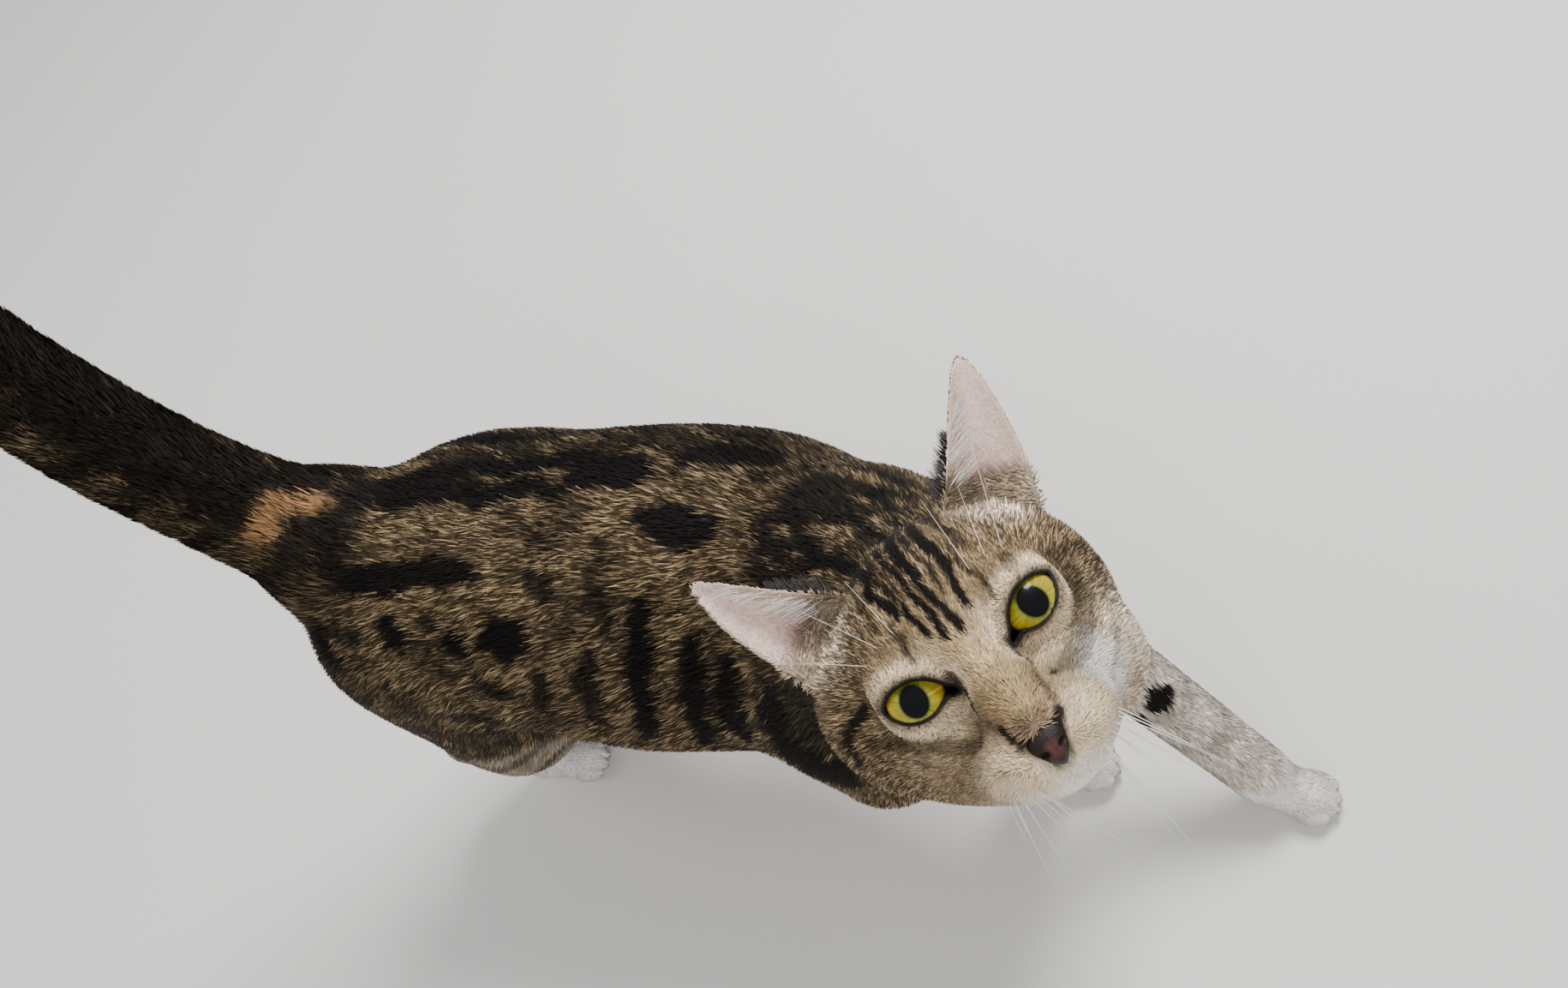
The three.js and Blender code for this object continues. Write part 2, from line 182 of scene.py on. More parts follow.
def along_curve(rows, t):
    """A point on a smooth curve through rows, with t running from 0 to the last row."""
    padded = np.vstack([2 * rows[0] - rows[1], rows, 2 * rows[-1] - rows[-2]])
    i = min(int(t), len(rows) - 2)
    f = t - i
    p, q, r, s = padded[i:i + 4]
    return q + 0.5 * f * (r - p + f * (2 * p - 5 * q + 4 * r - s + f * (3 * (q - r) + s - p)))


# ------------------------------------------------------------------ the body's forms

# Each kind of coat: its depth over the skin, its tufts' length and width (mm), and tufts on a mm2.
COATS = {
    "body": dict(depth=5, length=11, width=0.85, density=1.05),
    "neck": dict(depth=5, length=10, width=0.8, density=1.4),
    "thigh": dict(depth=4, length=9, width=0.8, density=1.1),
    "leg": dict(depth=2.2, length=6, width=0.65, density=1.5),
    "paw": dict(depth=1.3, length=3.2, width=0.55, density=2.6),
    "tail": dict(depth=5, length=12, width=0.95, density=1.1),
    "crown": dict(depth=2.4, length=4.8, width=0.44, density=3.2),
    "cheek": dict(depth=3, length=5.5, width=0.46, density=3.1),
    "ruff": dict(depth=4, length=8, width=0.6, density=2.3),
    "face": dict(depth=1.5, length=2.7, width=0.36, density=5.2),
    "muzzle": dict(depth=1.1, length=2.2, width=0.34, density=5.2),
    "ear": dict(depth=0.6, length=3.0, width=0.35, density=3.0),
}
PARTS = ["trunk", "neck", "head", "leg", "paw", "tail", "ear"]
PART_SHARES = slice(6, 6 + len(PARTS))   # where the parts' shares are in a form's traits


def coat_traits(coat, part, lie):
    """A coat's depth, length, width, lie of the hair, part and density, in a row."""
    kind = COATS[coat]
    share = [float(part == name) for name in PARTS]
    return np.array([kind["depth"], kind["length"], kind["width"], *lie, *share, kind["density"]])


class Form:
    """One rounded form: its distance, its blend with the forms before it, and its coat's traits."""

    def __init__(self, part, coat, distance, blend, lie):
        self.distance, self.blend = distance, blend
        self.traits = coat_traits(coat, part, unit(np.array(lie, float)))


NECK_ROOT = (120, -28, 202)
NECK_END = (-62, 0, -14)         # in the head's frame


def trunk_form(place, radii, blend, lie, **turn):
    return Form("trunk", "body", egg(place, radii, **turn), blend, lie)


def trunk_forms():
    back = (-1, 0, -0.25)
    down = (-1, 0, -0.5)
    return [
        trunk_form((-88, -8, 182), (60, 62, 58), 1, down, yaw=4),                 # pelvis
        trunk_form((-28, -9, 168), (85, 70, 72), 30, back),                       # loin and belly
        trunk_form((42, -8, 165), (86, 68, 75), 30, back, yaw=-4),                # ribs
        trunk_form((102, -26, 164), (56, 52, 70), 26, down, yaw=-20),             # chest
        trunk_form((144, -40, 160), (34, 36, 50), 20, (-0.4, 0, -1), yaw=-30, pitch=10),  # breast
        trunk_form((-126, -20, 190), (34, 44, 42), 18, (-0.6, 0, -1)),            # rump
        Form("neck", "neck", limb(NECK_ROOT, on_head(*NECK_END), 47, 37), 26, (-0.8, 0.4, -0.7)),
    ]


def head_form(coat, distance, blend, lie):
    """A form of the head, whose hair lies this way in the head's own frame."""
    return Form("head", coat, distance, blend, HEAD_AXES @ np.array(lie, float))


def head_egg(coat, place, radii, blend, lie):
    return head_form(coat, egg(on_head(*place), radii, **HEAD_TURN), blend, lie)


def head_limb(coat, start, end, radii, blend, lie):
    return head_form(coat, limb(on_head(*start), on_head(*end), *radii), blend, lie)


def head_forms():
    up_and_back = (-1, 0, 0.2)
    forms = [head_egg("crown", (-45, 0, -1), (44, 42, 35), 14, up_and_back)]
    for side in SIDES.values():
        across = (-1, 0.7 * side, -0.25)
        forms += [
            head_egg("cheek", (-36.5, side * 21 - 1, -14.5), (26.5, 25, 26), 10, across),
            head_egg("face", (-17, side * 17, -22), (18, 17, 15), 8, across),
            head_limb("face", (-30, side * 19, -27), (2, side * 13, -30), (17, 11), 10, across),
        ]
    for out, size in ((29.5, 21.5), (-35, 24)):                                   # ruff
        forms.append(head_egg("ruff", (-50, out, -8), (size, size - 4, size + 4), 10, (-1, 0, -0.3)))
    forms += [
        head_egg("cheek", (-28, 23, -33), (18, 18, 14), 10, (-1, 0.5, -0.4)),     # full left jowl
        head_limb("face", (-26, 0, -28), (0, 0, -33), (21, 13), 12, (-1, 0, -0.4)),       # throat
        head_limb("face", (-8, 0, 4), (19, 0, -17), (13, 8), 10, up_and_back),    # bridge of the nose
    ]
    for side in SIDES.values():
        forms += [
            head_egg("muzzle", (12, side * 8.5, -27), (15, 12, 10), 7, (-1, 0.9 * side, -0.2)),
            head_egg("face", (-12, side * 17, 7), (14, 14, 10), 8, (-0.6, 0.35 * side, 1)),
        ]
    forms.append(head_egg("muzzle", (6.5, 0, -36), (11.5, 9.5, 7.5), 7, (-1, 0, -0.4)))   # chin
    return forms


# Each paw: its heel and the root of its toes, on the floor, then the height of its white sock.
PAWS = {
    "hind_right": ((-142, -40), (-118, -38), 30),
    "hind_left": ((-64, 24), (-38, 22), 30),
    "fore_right": ((138, -32), (160, -30), 30),
    "fore_left": ((238, -36), (258, -41), 31),
}
PAW_RADIUS = 11                  # of its heel
TOE_RADII = (8.5, 4.1, 7.0)
TOE_SPREAD = 5.6                 # from one toe to the next
TOE_HEIGHT = 6.5
TOE_REACH = (3.2, 0.6)           # how far the middle and the outer toes stand forward
TOE_FAN = 5                      # the turn from one toe to the next, degrees
TOE_BLEND = 1.8
SOLE = 0.3                       # the soles' height over the floor


def paw_forms(heel, toe):
    """A paw: its round middle, and four toes side by side at its end."""
    heel, toe = np.array(heel, float), np.array(toe, float)
    forward = (toe - heel) / np.linalg.norm(toe - heel)
    side = np.array([-forward[1], forward[0]])
    yaw = math.degrees(math.atan2(forward[1], forward[0]))
    lie = (*forward, -0.3)
    middle = limb((*heel, PAW_RADIUS), (*(toe - 2 * forward), 10), PAW_RADIUS, 10.5)
    forms = [Form("paw", "paw", middle, 8, lie)]
    for place in (-1.5, -0.5, 0.5, 1.5):
        reach = TOE_REACH[abs(place) > 1]
        centre = toe + forward * reach + side * place * TOE_SPREAD
        toe_form = egg((*centre, TOE_HEIGHT), TOE_RADII, yaw=yaw - TOE_FAN * place)
        forms.append(Form("paw", "paw", toe_form, TOE_BLEND, lie))
    return forms


def leg_limb(start, end, radii, blend, lie, flat=1.0):
    return Form("leg", "leg", limb(start, end, *radii, flat), blend, lie)


def leg_forms():
    down, shank = (-0.3, 0, -1), (-0.9, 0, -0.7)
    return [
        Form("trunk", "thigh", egg((-108, -47, 142), (50, 27, 62), pitch=8), 24, (-0.5, 0, -1)),
        Form("trunk", "thigh", egg((-78, 34, 140), (54, 26, 66), pitch=-25), 26, (-0.5, 0, -1)),
        leg_limb((-92, -56, 112), (-158, -46, 64), (28, 14), 18, shank, 0.8),
        leg_limb((-160, -46, 60), (-142, -40, 18), (12, 10), 10, (0.3, 0, -1)),
        *paw_forms(*PAWS["hind_right"][:2]),
        leg_limb((-60, 28, 112), (-92, 30, 66), (26, 12), 16, shank, 0.8),
        leg_limb((-96, 30, 66), (-62, 24, 18), (11, 9), 10, (0.5, 0, -1)),
        *paw_forms(*PAWS["hind_left"][:2]),
        Form("trunk", "thigh", limb((100, -60, 150), (94, -66, 112), 34, 23, 0.8), 20, down),
        leg_limb((98, -62, 108), (136, -33, 23), (17, 12.5), 12, (0, 0, -1)),
        *paw_forms(*PAWS["fore_right"][:2]),
        Form("trunk", "thigh", limb((132, 6, 148), (166, -4, 116), 29, 18, 0.8), 20, (0.2, 0, -1)),
        leg_limb((168, -4, 118), (237, -36, 24), (16, 13.5), 14, (0.6, -0.3, -0.8)),
        *paw_forms(*PAWS["fore_left"][:2]),
    ]


TAIL_BLENDS = (16, 1.5)          # over its root, and from there on
TAIL_ROOT_LENGTHS = 3


def tail_forms():
    steps = np.linspace(0, len(TAIL) - 1, TAIL_LENGTHS + 1)
    stations = [along_curve(TAIL, t) for t in steps]
    forms = []
    for i, (a, b) in enumerate(zip(stations[:-1], stations[1:])):
        blend = TAIL_BLENDS[i >= TAIL_ROOT_LENGTHS]
        forms.append(Form("tail", "tail", limb(a[:3], b[:3], a[3], b[3]), blend, b[:3] - a[:3]))
    return forms


FORMS = trunk_forms() + head_forms() + leg_forms() + tail_forms()
TRAITS = np.stack([form.traits for form in FORMS])
WAIST = egg((-44, -82, 110), (34, 28, 46))       # taken out of the body before the right thigh
WAIST_BLEND = 20

# ------------------------------------------------------------------ ears


def ear_frame(side):
    """The middle of an ear's base, its axes (out of the cup, across, up), height and half width."""
    inner, outer, tip = (on_side(place, side) for place in (EAR_INNER_BASE, EAR_OUTER_BASE, EAR_TIP))
    base = (inner + outer) / 2
    up = tip - base
    height = np.linalg.norm(up)
    up /= height
    across = outer - inner
    half = np.linalg.norm(across) / 2
    across = unit(across - up * (across @ up))
    out = np.cross(across, up) * side
    return base, np.stack([out, across, up], 1), height, half


def ear_share(up, height):
    """How far up the ear a height is: 0 at its root and 1 at its tip."""
    return np.clip((up + EAR_ROOT) / (height + EAR_ROOT), 0, 1)


def ear_bow(up, height):
    return EAR_LEAN * np.sin(np.pi * ear_share(up, height))


def ear_width(up, height, half):
    return half * EAR_WIDEN * (1 - ear_share(up, height)) ** EAR_TAPER


def ear_middle(across, up, height, half):
    """The middle of an ear's shell: how far it stands out, and how far points are past its rim."""
    t = ear_share(up, height)
    width = ear_width(up, height, half) + 0.05
    across = across - ear_bow(up, height)
    u = np.clip(across / width, -1.2, 1.2)
    depth = EAR_DEPTH * (1 - t) ** EAR_CUP_TAPER * (1 - u * u)
    return -depth - EAR_CURL * t * t, np.abs(across) - width


def ear(side, thickness):
    """How far points are outside one ear's curved shell."""
    base, axes, height, half = ear_frame(side)

    def distance(points):
        out, across, up = ((to_head(points) - base) @ axes).T
        depth, past_rim = ear_middle(across, up, height, half)
        step = 0.5
        rise = 0
        for i, j in ((step, 0), (0, step)):
            ahead = ear_middle(across + i, up + j, height, half)[0]
            rise = rise + (ahead - ear_middle(across - i, up - j, height, half)[0]) ** 2
        shell = np.abs(out - depth) / np.sqrt(1 + rise / (2 * step) ** 2) - thickness / 2
        shell = rounded_max(shell, past_rim * EAR_RIM_SLOPE, EAR_RIM)
        return np.maximum(np.maximum(shell, -up - EAR_SUNK), up - height)

    return distance


EARS = [ear(side, EAR_THICKNESS) for side in SIDES.values()]


# ------------------------------------------------------------------ eyes in the skin

EYE_GAZE = (1, 0.12, 0.16)       # where the left eye looks, in the head's frame
TEAR_CORNER = (-7.0, (-12.0, -1.6))      # where it leaves the almond, and its end
TEAR_RADII = (1.5, 0.8)
LID_THICKNESS = 0.8
LID_BLEND = 6
LID_EDGE = 0.7
LID_DEPTH = 1.2                  # how far the opening goes in past the eye's surface


def eye_axes(side):
    """The axes of one eye: across to its outer corner, up, and forward."""
    tilt = math.radians(EYE_TILT)
    forward = unit(on_side(EYE_GAZE, side))
    across = np.array([0, side * math.cos(tilt), math.sin(tilt)])
    across = unit(across - forward * (across @ forward))
    up = np.cross(forward, across) * side
    return np.stack([across, up, forward], 1)


def eye_local(points, side):
    """Points in the frame of one eye: across, up and forward from its middle."""
    return (to_head(points) - on_side(EYE_CENTRE, side)) @ eye_axes(side)


def lid_opening(local):
    """How far points are outside the almond between the lids, seen along the eye's axis."""
    half_width, half_height = EYE_OPENING
    drop = (half_width ** 2 - half_height ** 2) / (2 * half_height)
    radius = drop + half_height
    above = np.hypot(local[:, 0], local[:, 1] + drop)
    below = np.hypot(local[:, 0], local[:, 1] - drop)
    almond = np.maximum(above, below) - radius
    start, end = TEAR_CORNER
    along = np.clip((start - local[:, 0]) / (start - end[0]), 0, 1)
    corner = np.hypot(local[:, 0] - start + along * (start - end[0]), local[:, 1] - along * end[1])
    radius = TEAR_RADII[0] + (TEAR_RADII[1] - TEAR_RADII[0]) * along
    return np.maximum(rounded(almond, corner - radius, TEAR_RADII[0]), -local[:, 2])


def past_lids(local):
    """How far points before the eye are outside its opening, and a long way for those behind."""
    return np.where(local[:, 2] > 0, lid_opening(local), 99)


# ------------------------------------------------------------------ the skin as one distance

# The lines of the mouth, each with half its width, and the groove from them up to the nose.
MOUTH_LINES = [
    ([(28.5, 0, -27), (25, 0, -33.5)], 0.35),
    ([(25, 0, -33.5), (20, -6, -35.5), (10, -13, -35), (0, -18, -33)], 0.45),
    ([(25, 0, -33.5), (20, 6, -35.5), (10, 13, -35), (0, 18, -33)], 0.45),
]
HEAD_MIDDLE = on_head(-30, 0, 10)
TRAIT_REACH = 6                  # how far each form's coat carries on into the next, mm
BLOCK = 26                       # points are taken together in blocks of this size, mm
REACH = 36                       # forms this much further off than the nearest one don't matter
FACE_REACH = 110                 # the ears, lids and mouth are this near to the head's middle
EAR_BLEND = 3.5
MOUTH_EDGE = 1.2


def blend_forms(points, chosen):
    """The coat's distance from the chosen forms, and its traits."""
    distance = None
    weights = []
    for index in chosen:
        d = FORMS[index].distance(points)
        distance = d if distance is None else rounded(distance, d, FORMS[index].blend)
        weights.append(np.exp(-np.clip(d, -60, 60) / TRAIT_REACH))
    weights = np.stack(weights, 1)
    traits = weights @ TRAITS[chosen] / weights.sum(1, keepdims=True)
    return carved(distance, WAIST(points), WAIST_BLEND), traits


def skin_block(points, chosen):
    distance, traits = blend_forms(points, chosen)
    distance = distance + traits[:, 0]
    distance = rounded_max(distance, SOLE - points[:, 2], 1)
    near_head = np.linalg.norm(points - HEAD_MIDDLE, axis=1) < FACE_REACH
    if near_head.any():
        distance[near_head] = add_face(points[near_head], distance[near_head])
    return distance, traits


def add_face(points, distance):
    """Ears, lids round the eyes, the mouth and the groove under the nose."""
    for one_ear in EARS:
        distance = rounded(distance, one_ear(points), EAR_BLEND)
    for side in SIDES.values():
        local = eye_local(points, side)
        ball = np.linalg.norm(local, axis=1)
        distance = rounded(distance, ball - EYE_RADIUS - LID_THICKNESS, LID_BLEND)
        distance = carved(distance, lid_opening(local), LID_EDGE)
        distance = np.maximum(distance, EYE_RADIUS - LID_DEPTH - ball)
    head = to_head(points)
    for path, width in MOUTH_LINES:
        away, _ = path_distance(head, path)
        distance = carved(distance, away - width, MOUTH_EDGE)
    return distance


def path_distance(points, path):
    """How far points are from a path of straight lengths, and how far along it they are, 0 to 1."""
    path = np.asarray(path, float)
    lengths = np.linalg.norm(np.diff(path, axis=0), axis=1)
    starts = np.concatenate([[0], np.cumsum(lengths)])
    best = np.full(len(points), np.inf)
    along = np.zeros(len(points))
    for a, b, start, length in zip(path[:-1], path[1:], starts, lengths):
        t = np.clip((points - a) @ (b - a) / length ** 2, 0, 1)
        away = np.linalg.norm(points - a - t[:, None] * (b - a), axis=1)
        nearer = away < best
        best = np.where(nearer, away, best)
        along = np.where(nearer, (start + t * length) / starts[-1], along)
    return best, along


def by_blocks(points):
    """Points sorted into blocks, each with the forms near enough to matter there."""
    cell = np.floor(points / BLOCK).astype(np.int64)
    key = (cell * np.array([1, 4096, 4096 ** 2])).sum(1)
    order = np.argsort(key, kind="stable")
    cuts = np.nonzero(np.diff(key[order]))[0] + 1
    groups = np.split(order, cuts)
    middles = np.stack([(cell[group[0]] + 0.5) * BLOCK for group in groups])
    table = np.stack([form.distance(middles) for form in FORMS], 1)
    limit = table.min(1, keepdims=True) + REACH + BLOCK * 1.2
    for group, near in zip(groups, table < limit):
        yield group, np.nonzero(near)[0]


def skin(points):
    """How far points are outside the skin: the coat's surface, less the coat's depth."""
    distance = np.empty(len(points))
    for group, chosen in by_blocks(points):
        distance[group] = skin_block(points[group], chosen)[0]
    return distance


def skin_traits(points):
    traits = np.empty((len(points), TRAITS.shape[1]))
    for group, chosen in by_blocks(points):
        traits[group] = blend_forms(points[group], chosen)[1]
    return traits


# ------------------------------------------------------------------ from distances to a mesh

CELL = 2.4                       # of the body, mm
FINE_CELL = 0.9                  # of the head
FINE_BOX = (HEAD_MIDDLE - 62, HEAD_MIDDLE + 58)
GRID_BOX = (np.array([-205.0, -130.0, -6.0]), np.array([284.0, 76.0, 512.0]))
CELLS = 8                        # cells in a block of the grid
OUTSIDE = 20.0


def grid_lines(axis):
    """Places of grid planes along one axis, close together over the head."""
    low, high = GRID_BOX[0][axis], GRID_BOX[1][axis]
    fine_low, fine_high = FINE_BOX[0][axis], FINE_BOX[1][axis]
    lines = [low]
    while lines[-1] < high:
        place = lines[-1]
        gap = max(fine_low - place, place - fine_high, 0)
        lines.append(place + min(CELL, FINE_CELL + 0.08 * gap))
    while (len(lines) - 1) % CELLS:
        lines.append(lines[-1] + CELL)
    return np.array(lines)


def box_points(*lines):
    return np.stack(np.meshgrid(*lines, indexing="ij"), -1).reshape(-1, len(lines))


def surface(values):
    """The points, in cells, and faces of the surface where a grid's distances are 0."""
    grid = openvdb.FloatGrid(OUTSIDE)
    grid.copyFromArray(values)
    places, quads = grid.convertToQuads(0.0)
    return np.asarray(places, float), np.asarray(quads)


def grow_skin():
    """The skin's mesh in the cat's frame: its distance is worked out only near the surface."""
    lines = [grid_lines(axis) for axis in range(3)]
    blocks = [(len(line) - 1) // CELLS for line in lines]
    middles = box_points(*[(line[:-1:CELLS] + line[CELLS::CELLS]) / 2 for line in lines])
    reach = box_points(*[(line[CELLS::CELLS] - line[:-1:CELLS]) / 2 for line in lines])
    reach = np.linalg.norm(reach, axis=1)
    at_middle = skin(middles)
    values = np.where(at_middle.reshape(blocks) < 0, -OUTSIDE, OUTSIDE)
    for axis in range(3):
        values = np.repeat(values, CELLS, axis)
    values = np.pad(values, ((0, 1),) * 3, constant_values=OUTSIDE).astype(np.float32)
    wanted = np.zeros(values.shape, bool)
    for corner in np.argwhere((np.abs(at_middle) < reach * 1.1 + 5).reshape(blocks)) * CELLS:
        i, j, k = corner
        wanted[i:i + CELLS + 1, j:j + CELLS + 1, k:k + CELLS + 1] = True
    spots = np.argwhere(wanted)
    points = np.stack([lines[axis][spots[:, axis]] for axis in range(3)], 1)
    values[tuple(spots.T)] = skin(points)
    places, quads = surface(values)
    axes = [np.interp(places[:, a], np.arange(len(lines[a])), lines[a]) for a in range(3)]
    return np.stack(axes, 1), quads


# ------------------------------------------------------------------ uneven edges and tones

NOISE_TABLE = RNG.uniform(-1, 1, 4096)
NOISE_PRIMES = (73856093, 19349663, 83492791)


def noise(points, size, seed=0):
    """A smooth uneven value from -1 to 1 at each point, in lumps of this size in mm."""
    place = points / size + 517.3 + 31.7 * seed
    cell = np.floor(place).astype(np.int64)
    part = place - cell
    part = part * part * (3 - 2 * part)
    value = np.zeros(len(points))
    for corner in np.ndindex((2,) * points.shape[1]):
        weight = np.prod(np.where(corner, part, 1 - part), axis=1)
        spot = cell + np.array(corner)
        mixed = 0
        for place_in_cell, prime in zip(spot.T, NOISE_PRIMES):
            mixed = mixed ^ place_in_cell * prime
        value += weight * NOISE_TABLE[mixed % len(NOISE_TABLE)]
    return value


def smooth_step(low, high, value):
    t = np.clip((value - low) / (high - low), 0, 1)
    return t * t * (3 - 2 * t)


def toward(a, b, share):
    """a where share is 0, b where it is 1."""
    return a + (b - a) * share


def mix(a, b, share):
    """The same for rows of numbers, such as colours."""
    return toward(np.asarray(a), np.asarray(b), share[:, None])


# ------------------------------------------------------------------ markings

# Dark marks on the back and right side: width in mm, strength, then the places it runs through,
# each as mm along the trunk and degrees round it (14 is the middle of the back, minus is right).
BACK_MARKS = [
    (12, 1.0, [(-105, 12), (-80, 20), (-50, 22), (-20, 24), (10, 26)]),
    (11, 1.0, [(-108, 3), (-95, 10), (-70, 12), (-40, 12), (-20, 13), (0, 11)]),
    (19, 1.0, [(4, 17), (34, 18)]),
    (17, 1.0, [(50, 24), (86, 28)]),
    (9, 0.9, [(80, 17), (105, 20)]),
    (18, 1.0, [(40, 0), (66, -3)]),
    (17, 0.6, [(-6, -5), (6, 2)]),
    (7, 0.9, [(20, -4), (26, -12)]),
    (12, 0.9, [(-9, -16), (-1, -23)]),
]
SIDE_MARKS = [
    (12, 1.0, [(-118, -13), (-105, -18), (-87, -17), (-70, -15), (-44, -14), (-38, -15)]),
    (13, 1.0, [(-140, -20), (-133, -26), (-126, -34), (-120, -44)]),
    (12, 1.0, [(-126, -14), (-122, -10), (-114, 0), (-110, 5)]),
    (19, 1.0, [(-33, -38), (-18, -35)]),
    (12, 0.9, [(21, -23), (26, -32)]),
    (11, 0.9, [(16, -42), (7, -54), (5, -72)]),
    (9, 0.9, [(-14, -50), (-16, -68)]),
    (12, 1.0, [(40, -26), (37, -42), (33, -52), (25, -82)]),
    (11, 1.0, [(60, -38), (56, -54), (50, -74), (46, -92)]),
    (12, 1.0, [(73, -44), (67, -62), (64, -84)]),
    (12, 1.0, [(90, -52), (84, -68), (80, -88)]),
    (38, 1.0, [(92, -84), (97, -90)]),
    (9, 0.9, [(-61, -30), (-58, -31)]),
    (13, 1.0, [(-87, -33), (-77, -38)]),
    (9, 0.9, [(-106, -36), (-104, -37)]),
    (13, 1.0, [(-52, -38), (-48, -40)]),
    (17, 0.7, [(-66, -42), (-57, -50)]),
    (11, 0.9, [(-42, -52), (-33, -60)]),
    (11, 0.8, [(-72, -74), (-46, -76)]),
    (11, 0.8, [(-78, -92), (-54, -90)]),
    (11, 0.7, [(-100, -56), (-92, -70), (-90, -84)]),
    (11, 0.7, [(-128, -62), (-118, -76)]),
]
DEGREE = 1.22                    # mm of coat to a degree round the trunk
TRUNK_AXIS = (-12, 165)          # Y and Z of the line that the degrees turn round
MIDDLE_OF_BACK = 14

# Dark strokes on top of the head, each through places in the head's own frame, in mm.
CROWN_MARKS = [
    (2.8, 1.0, [(-132, 13, 38), (-108, 9, 35), (-45, 9, 34)]),
    (4.2, 1.0, [(-45, 9, 34), (-23, 9, 28), (-13, 10, 22)]),
    (2.8, 1.0, [(-13, 10, 22), (-5, 8, 18), (2, 7, 12)]),
    (3.4, 1.0, [(-103, 0, 36), (-54, 2, 34), (-20, 1, 28), (-14, 2, 24)]),
    (2.4, 1.0, [(-66, 1, 32), (-38, 0, 34), (-18, 0, 27), (-9, 1, 21), (-3, 1, 18), (5, 2, 9)]),
    (2.4, 1.0, [(-64, -5, 32), (-38, -4, 34), (-18, -3, 27), (-11, -3, 23), (-4, -2, 18), (4, -2, 10)]),
    (4.0, 1.0, [(-109, -20, 38), (-77, -14, 30), (-31, -11, 31), (-22, -13, 27)]),
    (3.0, 1.0, [(-22, -13, 27), (-10, -10, 20)]),
    (2.4, 0.95, [(-70, -8, 31), (-40, -8, 33), (-24, -9, 29), (-12, -8, 23)]),
    (2.4, 0.95, [(-66, 5, 31), (-44, 5, 34), (-28, 5, 31)]),
    (2.2, 1.0, [(-10, -7, 21), (-3, -7, 17), (2, -6, 12)]),
    (2.0, 0.8, [(-8, -14, 19), (-3, -13, 16), (2, -15, 10)]),
    (3.0, 0.75, [(-98, 16, 28), (-37, 16, 31), (-24, 17, 27), (-17, 18, 22)]),
    (1.8, 0.8, [(-19, 15, 24), (-10, 13, 20), (-2, 15, 15), (2, 15, 10)]),
    (1.6, 0.9, [(-83, 5, 30), (-21, 5, 28), (-13, 6, 23), (-4, 4, 18)]),
    (1.6, 0.9, [(-78, -10, 31), (-22, -6, 29), (-13, -6, 23)]),
    (1.8, 0.7, [(-60, -17, 32), (-40, -17, 30), (-26, -17, 26), (-14, -18, 20)]),
    (5.0, 0.6, [(-4, 24, 14), (-3, 24, 13)]),
]
FACE_MARKS = [
    (5.0, 0.6, [(-29, 45, -1), (-23, 41, 1), (-16, 35, 3)]),
    (3.6, 0.95, [(-17, -35, 4), (-23, -42, 1), (-27, -46, -3), (-28, -48, -9)]),
    (5.0, 0.55, [(-19, -41, -5), (-10, -32, -9), (-1, -23, -14), (7, -16, -17)]),
    (2.4, 0.5, [(-18, -41, -11), (-5, -31, -17)]),
    (6.5, 0.7, [(-45, -46, 20), (-44, -45, 18)]),
    (3.6, 1.0, [(5, -11, 1), (9, -10, -6), (4, -12, -13)]),
    (2.6, 0.7, [(4, -12, -13), (10, -14, -17)]),
    (3.2, 0.9, [(5, 11, -1), (7, 11, -5), (6, 11, -11), (7, 13, -15)]),
    (2.4, 0.55, [(14, 9, -11), (18, 9, -14), (25, 7, -19)]),
    (3.0, 0.95, [(25, 7, -19), (26, 4, -23), (26, 2, -28), (24, 0, -33)]),
    (2.4, 0.55, [(10, -11, -13), (22, -8, -14)]),
    (3.2, 0.95, [(22, -8, -14), (26, -6, -19), (27, -4, -23), (26, -1, -28), (24, 0, -33)]),
    (7.0, 0.5, [(-14, 36, -3), (-8, 31, -13), (0, 23, -16), (4, 18, -18)]),
    (2.3, 0.4, [(-10, 35, -23), (-1, 29, -27), (5, 25, -28)]),
    (1.4, 0.45, [(19, 14, -21), (18, 16, -22)]),
    (1.4, 0.45, [(15, 17, -24), (14, 19, -25)]),
    (1.4, 0.4, [(15, -15, -22), (14, -17, -23)]),
    (3.5, 0.8, [(-30, 44, -8), (-44, 48, -16)]),
    (3.5, 0.8, [(-34, -46, -18), (-46, -46, -26)]),
]
CROWN_CENTRE = (-45, -1)         # forward and up: what the strokes on the crown are wrapped round
CROWN_RADIUS = 38

